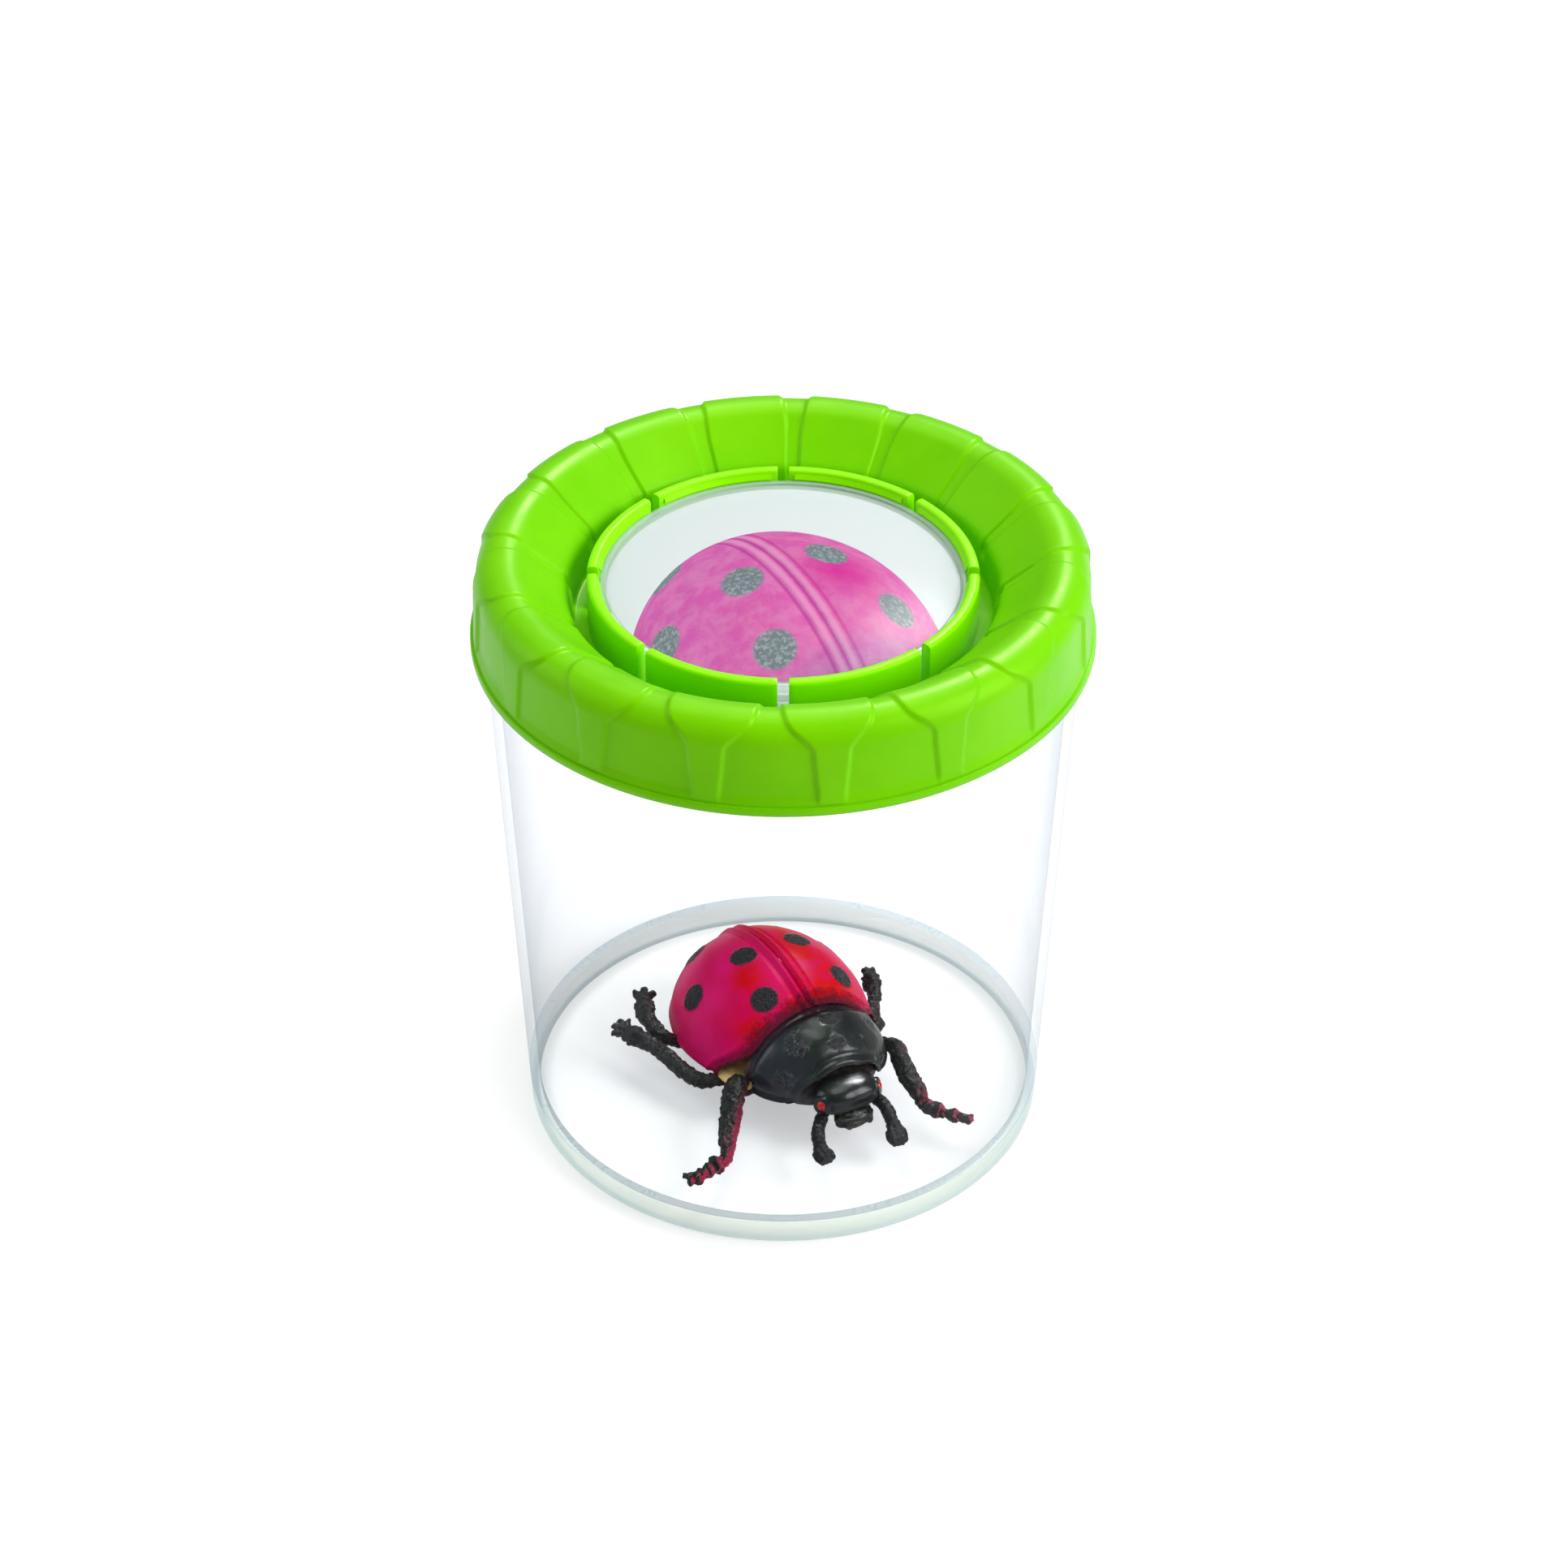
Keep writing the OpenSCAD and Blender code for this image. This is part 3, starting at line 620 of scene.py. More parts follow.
def body_black(name, is_head):
    """Glossy black paint with rough, grainy patches, a purple cast near the wing cases, and painted
    sheens: bluish on its right side, grey-green on its left.
    """
    f = Finish(name, body_place)
    x, y, z = f.axes()
    patch = f.most(*[f.near(Vector(centre) * MM, reach * 0.1 * MM, reach * 1.5 * MM)
                     for centre, reach in shield_patches])
    patch = f.span(f.times(patch, f.grain(1.6 * MM, 5.0, 0.7)), 0.14, 0.42)
    pits = f.times(f.cells(0.80 * MM), f.grain(0.40 * MM, 2.0))
    colour = f.mix(f.span(f.grain(5 * MM, 3.0), 0.35, 0.7), (0.006, 0.007, 0.008), (0.014, 0.017, 0.019))
    # Painted reflections: a bluish sheen on the right lobe and a grey-green sheen on the left lobe.
    colour = f.mix(f.span(y, -4 * MM, -9 * MM), colour, (0.020, 0.024, 0.033))
    colour = f.mix(f.span(y, 5 * MM, 9 * MM), colour, (0.034, 0.037, 0.034))
    cast = f.times(f.span(x, 17.5 * MM, 13 * MM), f.span(f.grain(4 * MM, 3.0), 0.3, 0.65))
    colour = f.mix(f.times(cast, 0.8), colour, (0.075, 0.012, 0.035))
    dull = f.times(patch, f.span(pits, 0.1, 0.4, 0.1, 0.6))
    colour = f.mix(dull, colour, (0.013, 0.013, 0.013))
    if is_head:
        line = f.times(f.span(z, -1.9 * MM, -1.5 * MM), f.span(z, -0.5 * MM, -0.9 * MM))
        front_edge = f.times(f.span(x, 30.4 * MM, 31.0 * MM), line)
        band = f.times(f.span(x, 22.5 * MM, 23.5 * MM), f.span(x, 25.4 * MM, 24.6 * MM))
        collar = f.times(band, f.span(f.grain(1.5 * MM, 4.0), 0.3, 0.6))
        colour = f.mix(f.times(front_edge, 0.8), colour, (0.30, 0.19, 0.05))
        colour = f.mix(f.times(collar, 0.3), colour, (0.085, 0.035, 0.018))
    gloss = f.sum("SUBTRACT", 0.25, f.times(patch, 0.10))
    smooth = f.bump(f.grain(4.0 * MM, 2.0), 0.04 * MM)
    rough = f.bump(f.times(patch, pits), 0.8 * MM, below=smooth)
    return f.done(f.paint(colour, gloss, rough, Specular_IOR_Level=0.5))


def mouth_paint():
    """Black paint over brown and cream ridges."""
    f = Finish("mouth_black", body_place)
    streak = f.grain(1.0 * MM, 4.0, 0.6)
    colour = f.mix(f.span(streak, 0.58, 0.75), (0.008, 0.008, 0.008), (0.07, 0.03, 0.012))
    low = f.span(f.axes()[2], -2.6 * MM, -4.2 * MM)
    ridges = f.times(low, f.span(f.grain(0.6 * MM), 0.45, 0.65))
    colour = f.mix(ridges, colour, (0.30, 0.13, 0.05))
    return f.done(f.paint(colour, 0.15, f.bump(streak, 0.25 * MM), Specular_IOR_Level=0.7))


def limb_black(name, painted_glow_share):
    """Black painted limbs with a wrinkled skin, and a painted dark red glow low on their sides that face
    the right-hand lamp, stronger towards the feet, for light shining through them.
    """
    f = Finish(name, bug_place)
    x, y, z = f.axes()
    wrinkle = f.cells(0.95 * MM, "DISTANCE_TO_EDGE")
    fine = f.grain(0.5 * MM, 5.0, 0.6)
    colour = f.mix(f.span(fine, 0.35, 0.7), (0.005, 0.005, 0.006), (0.020, 0.021, 0.022))
    side = f.axes(f.node("ShaderNodeTexCoord").outputs["Normal"])[0]
    # Painted light: dark red low on the sides facing +X, towards the right-hand lamp, growing towards
    # the feet.
    low_lamp_side = f.times(f.span(z, 7 * MM, 2.5 * MM), f.span(side, 0.0, 0.6))
    far = f.span(f.plus(x, f.times(f.sum("ABSOLUTE", y), 0.6)), 22 * MM, 34 * MM)
    painted_glow = f.times(f.times(low_lamp_side, f.plus(0.05, far)), f.span(fine, 0.2, 0.55))
    painted_glow = f.times(painted_glow, painted_glow_share)
    colour = f.mix(painted_glow, colour, (0.33, 0.006, 0.05))
    bump = f.bump(f.plus(wrinkle, f.times(fine, 0.8)), 0.22 * MM)
    return f.done(f.paint(colour, 0.22, bump, Specular_IOR_Level=0.3))


def belly_plastic():
    """Bare cream plastic with patches of darker orange and dark red stain."""
    f = Finish("belly_cream", body_place)
    stain = f.span(f.grain(2.4 * MM, 5.0, 0.6), 0.42, 0.68)
    colour = f.mix(stain, (0.85, 0.64, 0.22), (0.60, 0.34, 0.09))
    colour = f.mix(f.span(f.grain(4 * MM, 3.0), 0.58, 0.72), colour, (0.12, 0.015, 0.02))
    bump = f.bump(f.grain(0.9 * MM, 4.0), 0.12 * MM)
    return f.done(f.paint(colour, 0.35, bump, Subsurface_Weight=0.1, Subsurface_Scale=1 * MM))


def eye_paint():
    """Glossy red eyes."""
    f = Finish("eye_red")
    colour = f.mix(f.span(f.grain(0.7 * MM), 0.35, 0.65), (0.50, 0.000, 0.010), (0.66, 0.002, 0.024))
    return f.done(f.paint(colour, 0.12, f.bump(f.grain(0.6 * MM), 0.02 * MM), Coat_Weight=0.8))


# Jar
def jar_wall_piece(materials):
    slope = (shoulder_radius - foot_radius) / shoulder_top
    outline = rounded([
        (base_top_radius - wall_thick, floor_top, 0),
        (base_top_radius, floor_top, 0),
        (shoulder_radius, shoulder_top, 0.3 * MM),
        (neck_radius, shoulder_top, 0.2 * MM),
        (neck_radius, neck_top, 0.4 * MM),
        (neck_radius - wall_thick, neck_top, 0.4 * MM),
        (neck_radius - wall_thick, shoulder_top, 0.2 * MM),
        (shoulder_radius - wall_thick * (1 + slope), shoulder_top - wall_thick, 0.2 * MM),
    ])
    wall = turned("jar_wall_clear", outline)
    for face in wall.data.polygons:
        face.material_index = int(face.center.z > shoulder_top + 0.2 * MM)
    finished_faces(wall, "jar", ["jar_wall"], materials)


def jar_base_pieces(floor_material, foot_material):
    disc_radius = foot_radius - foot_ring_thick
    disc = turned("jar_floor", rounded([
        (0, floor_top - floor_thick, 0), (disc_radius, floor_top - floor_thick, 0),
        (disc_radius, floor_top, 0), (0, floor_top, 0)]))
    finished(disc, "jar", ["jar_base"], [floor_material])
    ring = turned("foot_ring", rounded([
        (disc_radius, 0, 0.3 * MM), (foot_radius, 0, 0.45 * MM),
        (base_top_radius, floor_top, 0.25 * MM), (disc_radius, floor_top, 0)]))
    finished(ring, "jar", ["jar_base"], [foot_material])


# Lid
def slope_height(radius, at):
    """Height of the inner slope at a distance from the axis, for a crest of this radius."""
    top_r = crest_middle - radius * math.sin(slope_angle)
    top_z = crest_height + radius * math.cos(slope_angle)
    return top_z - (top_r - at) * math.tan(slope_angle)


def crest_arc(radius, start, end, steps):
    points = []
    for k in range(steps + 1):
        turn = start + (end - start) * k / steps
        points.append(Vector((crest_middle + radius * math.cos(turn),
                              crest_height + radius * math.sin(turn))))
    return points


def spaced(points, step):
    """Adds points so that no stretch is longer than a step."""
    result = [points[0]]
    for here, there in zip(points, points[1:]):
        pieces = max(1, math.ceil((there - here).length / step))
        result += [here.lerp(there, k / pieces) for k in range(1, pieces + 1)]
    return result


def lid_skin():
    """The ring's outer face from the moat's floor over the crest to the lip."""
    slope_turn = math.pi / 2 + slope_angle
    foot = slope_height(crest_radius, moat_radius)
    ends = (0, 0, 0), (crest_middle, slope_height(crest_radius, crest_middle), 0)
    moat = [(moat_radius - moat_lean, moat_floor, 0.6 * MM), (moat_radius, foot, 1.1 * MM)]
    start = rounded([ends[0], *moat, ends[1]], 5)[1:-1]
    crest = crest_arc(crest_radius, slope_turn, 0, 26)
    wall_foot = Vector((lid_wall_radius, lip_high))
    return spaced(start + crest + [wall_foot], 0.75 * MM)


def gap_half_angle(radius, height):
    """Half the width of a gap between two pads at a point of the ring's outer face.

    A gap is narrow over the slope and the crest and wide down the wall. Its turns are directions
    from the crest's centre, in degrees.
    """
    crest_half = 2.5
    wall_half = 8
    turn = math.degrees(math.atan2(height - crest_height, radius - crest_middle))
    if turn < -90:
        turn += 360
    if turn > 90:
        half = crest_half - 0.8 * smooth_step(90, 170, turn)
    elif turn > -5:
        half = crest_half + 0.9 * smooth_step(90, 50, turn) + 4.6 * smooth_step(62, -2, turn)
    else:
        half = wall_half + 0.8 * smooth_step(crest_height, lip_high, height)
    return math.radians(half)


def gap_weight(point, radius):
    """How far a point of the ring's outer face lies in a gap between two pads, from 0 to 1."""
    pitch = 2 * math.pi / pad_count
    soft = math.radians(0.3)
    half = gap_half_angle(radius, point.z)
    azimuth = math.atan2(point.y, point.x) - math.pi / 2 - pad_turn
    off = abs((azimuth + pitch / 2) % pitch - pitch / 2)
    weight = 1 - smooth_step(half - soft, half + soft, off)
    weight *= smooth_step(lip_high + 0.3 * MM, lip_high + 1.6 * MM, point.z)
    if radius < moat_radius + 1 * MM:
        weight *= smooth_step(moat_floor + 2.5 * MM, moat_floor + 4.5 * MM, point.z)
    return weight


def ring_outline(skin):
    """The ring's whole section: its outer face, the lip, the bore, the inside and the ledge."""
    under_slope = slope_height(crest_radius - shell_thick, moat_radius + shell_thick)
    under_crest = crest_arc(crest_radius - shell_thick, 0, math.pi / 2 + slope_angle, 8)
    under_floor = moat_floor - moat_floor_thick
    ledge = lens_radius - lens_skirt - lens_gap
    lip = [(lip_radius - 0.1 * MM, lip_high), (lip_radius, lip_high - 0.15 * MM),
           (lip_radius, 0.25 * MM), (lip_radius - 0.25 * MM, 0), (bore_radius, 0)]
    inside = [(moat_radius + shell_thick, under_slope), (moat_radius + shell_thick, under_floor),
              (ledge, under_floor), (ledge, moat_floor)]
    return [*skin, *map(Vector, lip), *under_crest, *map(Vector, inside)]


def padded_ring_piece(material):
    skin = lid_skin()
    ring = turned("padded_ring", ring_outline(skin), 960)
    known = kdtree.KDTree(len(skin))
    for i, point in enumerate(skin):
        known.insert((point.x, point.y, 0), i)
    known.balance()
    weights = ring.vertex_groups.new(name="gaps")
    on_skin = 0.02 * MM
    for vertex in ring.data.vertices:
        radius = math.hypot(vertex.co.x, vertex.co.y)
        if known.find((radius, vertex.co.z, 0))[2] <= on_skin:
            weights.add([vertex.index], gap_weight(vertex.co, radius), "REPLACE")
    apply_modifier(ring, "DISPLACE", vertex_group="gaps", strength=-gap_depth, mid_level=0,
                   direction="NORMAL")
    ring.vertex_groups.clear()
    finished(ring, "lid", ["lid_ring"], [material], lid_place, sharp=50)


def spring_finger_pieces(material):
    """The collar's fingers, each with a long bead inside that holds the lens down."""
    pitch = 360 / finger_count
    slot = math.degrees(slot_wide / (collar_inside + finger_thick / 2))
    foot = moat_floor - 0.2 * MM
    outside = collar_inside + finger_thick
    bead_low = lens_rim_top + lens_gap
    bead_high = bead_low + 0.9 * MM
    bead_root = collar_inside + 1 * MM
    bead_margin = 2
    for i in range(finger_count):
        start = i * pitch + slot / 2
        finger = turned("finger", rounded([
            (collar_inside, foot, 0), (outside, foot, 0),
            (outside, collar_top, 0.9 * MM), (collar_inside, collar_top, 0.7 * MM),
        ], 5), 28, pitch - slot, start)
        apply_modifier(finger, "BEVEL", width=0.15 * MM, segments=2, limit_method="ANGLE",
                       angle_limit=math.radians(60))
        bead = turned("bead", [
            (collar_inside - 0.5 * MM, bead_low), (bead_root, bead_low),
            (bead_root, bead_high), (collar_inside, bead_high),
        ], 28, pitch - slot - 2 * bead_margin, start + bead_margin)
        piece = joined("spring_finger_%d" % (i + 1), [finger, bead])
        finished(piece, "lid", ["lid_ring"], [material], lid_place)


# Lens
def lens_piece(materials):
    """The lens; its materials are those of its sides, of its upper face and of its rim and skirt."""
    optic = lens_radius - lens_rim_wide
    top = lens_rim_top - rim_step
    low = top - lens_edge_thick
    curve = (optic ** 2 + lens_bulge ** 2) / (2 * lens_bulge)
    steps = 40
    upper = []
    lower = []
    for k in range(steps + 1):
        at = optic * k / steps
        sag = math.sqrt(curve ** 2 - at ** 2) - (curve - lens_bulge)
        upper.append(Vector((at, top + sag)))
        lower.append(Vector((at, low - sag)))
    mid_rim = optic + lens_rim_wide / 2
    skirt_grooves = []
    for height in (lens_rim_top - 1.6 * MM, lens_rim_top - 3.4 * MM):
        for inwards, down in ((0, 0), (0.3, 0.15), (0.3, 0.4), (0, 0.55)):
            skirt_grooves.append((lens_radius - inwards * MM, height - down * MM, 0))
    outline = upper + rounded([
        (mid_rim, top, 0.1 * MM), (mid_rim, lens_rim_top, 0.12 * MM),
        (lens_radius, lens_rim_top, 0.3 * MM),
    ] + skirt_grooves + [
        (lens_radius, lens_foot, 0.2 * MM), (lens_radius - lens_skirt, lens_foot, 0.2 * MM),
        (lens_radius - lens_skirt, low, 0)]) + lower[::-1]
    lens = turned("lens_clear", outline, 256)
    for face in lens.data.polygons:
        out = math.hypot(face.center.x, face.center.y)
        if face.normal.z > 0.5 and out < lens_radius - 0.6 * MM:
            face.material_index = 1
        elif out > optic + 0.2 * MM:
            face.material_index = 2
    finished_faces(lens, "lid", ["magnifier_lens"], materials, lid_place)


# Ladybird
def case_point(side, across, along):
    """A point of a wing case, from its lower edge up to the seam and from tail to shield."""
    tail_turn = 3
    front_cut_back = 5 * MM
    climb = across * math.pi / 2
    front = front_x - front_cut_back * (1 - smooth_step(0, 0.42, across)) ** 1.5
    front_turn = 180 - math.degrees(math.acos(front / case_half.x))
    turn = math.radians(tail_turn + along * (front_turn - tail_turn))
    x = -case_half.x * math.cos(turn)
    share = math.sin(turn)
    wide = case_half.y * (0.925 if side > 0 else 1.01)
    y = wide * share * math.cos(climb)
    z = case_half.z * share * math.sin(climb)
    normal = Vector((x / case_half.x ** 2, y / wide ** 2, z / case_half.z ** 2)).normalized()
    from_front = front - x
    fade = smooth_step(0.10, 0.35, share)
    rise = fade * (0.62 * bell(y, 0.95 * MM, 0.48 * MM) - 0.28 * bell(y, 0, 0.25 * MM)
                   - 0.26 * bell(y, 2.0 * MM, 0.42 * MM))
    rise += 0.42 * bell(from_front, 0.5 * MM, 0.55 * MM) - 0.28 * bell(from_front, 1.7 * MM, 0.5 * MM)
    rise += 0.20 * bell(from_front, 2.6 * MM, 0.5 * MM)
    rise += 0.35 * bell(z, 0.5 * MM, 0.8 * MM)
    place = Vector((x, side * y, z))
    rise += 0.16 * noise.noise(place / (5 * MM))
    for spot in all_spots:
        mask = 1 - smooth_step(spot_inner, spot_outer, (place - spot).length)
        if mask > 0:
            rise += mask * (0.10 + 0.16 * noise.noise(place / (0.55 * MM)))
    normal.y *= side
    point = place + normal * rise * MM
    point.y = side * max(side * point.y, 0.02 * MM)
    return point


def wing_case_pieces(material):
    for side, name in ((1, "left"), (-1, "right")):
        node = "wing_case_" + name
        shell = draped(node + "_shell", 150, 190, lambda u, v: case_point(side, u, v))
        thicken(shell, skin_thick, Vector((0, side, 1)))
        finished(shell, "ladybird", [node], [material], body_place, sharp=70)


def shield_reach(turn):
    """How far forward the shield's front edge lies, by the direction round its arch in degrees."""
    low = min(turn, 180 - turn)
    return (8.0 + 2.0 * smooth_step(-5, 4, low) + 1.0 * smooth_step(10, 60, low)) * MM


def shield_point(across, along):
    """A point of the neck shield, round its arch from left to right and from the back to the front."""
    below = 4
    turn = (180 + 2 * below) * across - below
    start = -0.9 * MM
    reach = shield_reach(turn)
    s = start + (reach - start) * math.sin(along * math.pi / 2)
    share = math.sqrt(max(1 - (s / shield_half.x) ** 2, 0))
    arch = math.radians(turn)
    y = shield_half.y * share * math.cos(arch)
    z = shield_half.z * share * math.sin(arch)
    place = Vector((front_x + s, y, z))
    normal = Vector((s / shield_half.x ** 2, y / shield_half.y ** 2, z / shield_half.z ** 2))
    normal.normalize()
    edge = (reach - s) / MM
    low = min(turn, 180 - turn)
    side_edge = (low + below) * 0.2
    near_edge = min(edge, side_edge)
    rise = 0.34 * bell(near_edge, 0.35, 0.32) - 0.22 * bell(near_edge, 1.15, 0.4)
    rise += 0.12 * noise.noise(place / (4 * MM)) + 0.03 * noise.noise(place / (1.6 * MM))
    for centre, size in shield_patches:
        mask = 1 - smooth_step(0.5 * size, 1.2 * size, (place - Vector(centre) * MM).length / MM)
        rise += mask * 0.26 * noise.noise(place / (0.5 * MM))
    rise -= 0.5 * bell(s, 0.6 * MM, 0.9 * MM)
    rise += 0.35 * bell(low, 26, 16) * smooth_step(3, 7, s / MM)
    return place + normal * rise * MM


def neck_shield_piece(material):
    shell = draped("neck_shield_shell", 230, 130, shield_point)
    thicken(shell, skin_thick, Vector((1, 0, 1)))
    finished(shell, "ladybird", ["neck_shield"], [material], body_place, sharp=70)


def ball(name, half, centre, columns, rows, shape=None):
    """A closed lump: a sphere scaled to its half sizes, with its points moved by shape(direction)."""
    deselect()
    bpy.ops.mesh.primitive_uv_sphere_add(segments=columns, ring_count=rows, radius=1)
    piece = bpy.context.object
    piece.name = name
    for vertex in piece.data.vertices:
        way = vertex.co.normalized()
        out = 1 + (shape(way) if shape else 0)
        vertex.co = Vector((centre[0] + half[0] * way.x * out, centre[1] + half[1] * way.y * out,
                            centre[2] + half[2] * way.z * out))
    return piece


def belly_shape(way):
    ribs = 0.03 * math.sin(way.x * 22) if way.z < 0 else 0
    return ribs + 0.04 * noise.noise(way * 3)


def underbody_piece(material):
    belly_half = (case_half.x * 0.93, case_half.y * 0.90, 2.1 * MM)
    belly = ball("belly", belly_half, (0, 0, 0), 96, 48, belly_shape)
    chest_half = (9 * MM, shield_half.y * 0.86, 2.4 * MM)
    chest = ball("chest", chest_half, (front_x, 0, -0.4 * MM), 96, 48, belly_shape)
    plate = ball("side_plate", mm(6.8, 3.8, 1.0), mm(9.8, -13.6, -0.2), 48, 24)
    piece = melted("underbody_lump", [belly, chest, plate], 0.2 * MM, 8)
    finished(piece, "ladybird", ["underbody"], [material], body_place, sharp=80)


def head_shape(way):
    boxy = (abs(way.x) ** 2.6 + abs(way.y) ** 2.6 + abs(way.z) ** 2.6) ** (-1 / 2.6)
    out = boxy - 1
    above = smooth_step(-0.2, 0.3, way.z)
    out += above * (0.07 * bell(way.x, -0.52, 0.10) - 0.09 * bell(way.x, -0.32, 0.09))
    out += 0.05 * bell(way.z, -0.25, 0.12) * smooth_step(0.3, 0.8, way.x)
    return out + 0.005 * noise.noise(way * 9) + 0.015 * noise.noise(way * 3)


def eye_socket(centre, out, radius):
    """A raised ring round an eye, facing outwards."""
    deselect()
    bpy.ops.mesh.primitive_torus_add(major_segments=48, minor_segments=16, major_radius=radius,
                                     minor_radius=0.5 * MM)
    socket = bpy.context.object
    facing = out.to_track_quat("Z", "Y").to_matrix().to_4x4()
    socket.data.transform(Matrix.Translation(centre + out * 0.30 * MM) @ facing)
    socket.matrix_world = Matrix.Identity(4)
    return socket


def head_pieces(black, red):
    skull = ball("skull", mm(4.8, 6.2, 3.2), (head_x + 0.7 * MM, 0, head_z + 0.2 * MM), 128, 72,
                 head_shape)
    neck = ball("neck", mm(4.4, 9.4, 3.8), (neck_x - 3.2 * MM, 0, 0), 96, 48,
                lambda way: 0.03 * noise.noise(way * 6))
    lumps = [skull, neck]
    eye_radius = 1.08 * MM
    eyes = []
    for side in (1, -1):
        centre = Vector((head_x + head_half.x * 0.40, side * head_half.y * 0.94, head_z + 0.3 * MM))
        out = Vector((0.55, side * 0.8, 0.25)).normalized()
        lumps.append(eye_socket(centre, out, eye_radius * 1.15))
        lumps.append(ball("cheek", mm(2.1, 1.9, 1.9), centre - out * 1.1 * MM, 32, 16))
        eyes.append((side, centre + out * 0.05 * MM))
    head = melted("head_lump", lumps, 0.14 * MM, 3)
    finished(head, "ladybird", ["head"], [black], body_place, sharp=80)
    for side, centre in eyes:
        node = "eye_left" if side > 0 else "eye_right"
        eye = ball(node + "_ball", (eye_radius, eye_radius, eye_radius), centre, 48, 24,
                   lambda way: 0.015 * noise.noise(way * 4))
        finished(eye, "ladybird", [node], [red], body_place, sharp=80)


def mouth_shape(way):
    ribs = 0.07 * math.sin(way.z * 17 + 3 * abs(way.y)) * smooth_step(-0.1, 0.5, way.x)
    return ribs + 0.08 * noise.noise(way * 4)


def mouth_piece(material):
    x = head_x + head_half.x * 0.70
    z = head_z - head_half.z * 0.72
    jaw = ball("jaw", mm(2.5, 3.9, 1.9), (x, -0.4 * MM, z + 0.3 * MM), 96, 48, mouth_shape)
    lip = ball("lip", mm(1.6, 2.0, 1.1), (x + 0.9 * MM, 0.4 * MM, z + 0.8 * MM), 64, 32)
    palp_half = mm(1.2, 0.8, 1.2)
    palps = [ball("palp", palp_half, (x + 1.2 * MM, side * 2.1 * MM, z - 0.2 * MM), 32, 16)
             for side in (-1, 1)]
    piece = melted("mouth_lump", [jaw, lip] + palps, 0.12 * MM, 2)
    finished(piece, "ladybird", ["mouthparts"], [material], body_place, sharp=80)


# Legs and feelers, from the body outwards: the last number is the thickness as a share. Legs are
# in shares of the wing cases and, past 1, of the room beyond them; feelers are in shares of the head.
leg_routes = {
    "front_right": [(0.66, -0.40, 0.14, 0.66), (0.67, -0.72, 0.14, 0.66), (0.73, -0.89, 0.34, 0.95),
                    (0.94, -1.07, 0.25, 1.08), (1.16, -1.25, 0.17, 0.90), (1.34, -1.38, 0.12, 0.62),
                    (1.39, -1.53, 0.11, 0.84), (1.41, -1.63, 0.10, 0.60), (1.43, -1.74, 0.10, 0.66)],
    "front_left": [(0.66, 0.42, 0.14, 0.66), (0.69, 0.75, 0.14, 0.66), (0.88, 0.84, 0.22, 0.78),
                   (1.06, 0.75, 0.29, 0.86), (1.38, 0.66, 0.31, 0.90), (1.53, 0.66, 0.24, 0.80),
                   (1.58, 0.66, 0.16, 0.62), (1.66, 0.74, 0.13, 0.78), (1.74, 0.81, 0.11, 0.54),
                   (1.81, 0.88, 0.10, 0.62), (1.88, 0.95, 0.09, 0.46)],
    "middle_right": [(0.46, -0.45, 0.12, 0.66), (0.43, -0.84, 0.13, 0.68), (0.39, -1.05, 0.14, 0.76),
                     (0.21, -1.17, 0.17, 0.80), (-0.01, -1.22, 0.19, 0.76), (-0.22, -1.29, 0.21, 0.78),
                     (-0.35, -1.35, 0.21, 0.98), (-0.46, -1.40, 0.19, 0.84)],
    "middle_left": [(0.50, 0.50, 0.12, 0.66), (0.48, 0.86, 0.13, 0.66), (0.30, 0.95, 0.12, 0.62),
                    (0.10, 1.10, 0.12, 0.66), (-0.07, 1.18, 0.13, 0.88), (-0.17, 1.22, 0.12, 0.72)],
    "rear_right": [(-0.08, -0.58, 0.08, 0.60), (-0.16, -0.86, 0.09, 0.60), (-0.22, -1.09, 0.20, 0.68),
                   (-0.37, -1.13, 0.22, 0.74), (-0.53, -1.12, 0.22, 0.84), (-0.68, -1.06, 0.20, 0.94),
                   (-0.77, -1.01, 0.18, 0.84)],
    "rear_left": [(-0.08, 0.58, 0.08, 0.60), (-0.18, 0.84, 0.09, 0.60), (-0.32, 0.99, 0.10, 0.68),
                  (-0.50, 0.97, 0.11, 0.74), (-0.66, 0.91, 0.12, 0.94), (-0.75, 0.87, 0.12, 0.84)],
}
feeler_routes = {
    "right": [(0.05, -0.60, 0.72, 0.80), (0.37, -0.97, 0.54, 0.95), (0.76, -1.32, 0.68, 0.90),
              (1.08, -1.54, 0.72, 1.00), (1.38, -1.66, 0.61, 0.95), (1.57, -1.72, 0.53, 1.30),
              (1.73, -1.72, 0.46, 1.36), (1.91, -1.72, 0.42, 1.14)],
    "left": [(0.05, 0.60, 0.72, 0.80), (0.37, 0.97, 0.54, 0.95), (0.76, 0.97, 0.68, 0.90),
             (1.18, 0.88, 0.76, 1.00), (1.47, 0.81, 0.65, 0.95), (1.76, 0.75, 0.53, 1.30),
             (1.99, 0.66, 0.46, 1.36), (2.20, 0.60, 0.42, 1.14)],
}
# Claws at each foot: turn from the foot's own direction in degrees, lift in degrees, length in mm
claw_fans = {
    "front_right": [(-30, 4, 3.0), (12, 0, 3.0), (55, -4, 2.3)],
    "front_left": [(-24, 0, 1.3), (20, 4, 1.5)],
    "middle_right": [(-58, 12, 2.8), (-20, 16, 3.0), (12, 10, 3.0), (50, 0, 2.8)],
    "middle_left": [(-30, 0, 2.2), (25, 6, 2.2)],
    "rear_right": [(-46, 8, 2.8), (0, 26, 2.8), (42, 10, 3.0)],
    "rear_left": [(-48, 12, 2.8), (0, 18, 2.8), (48, 2, 2.6)],
}


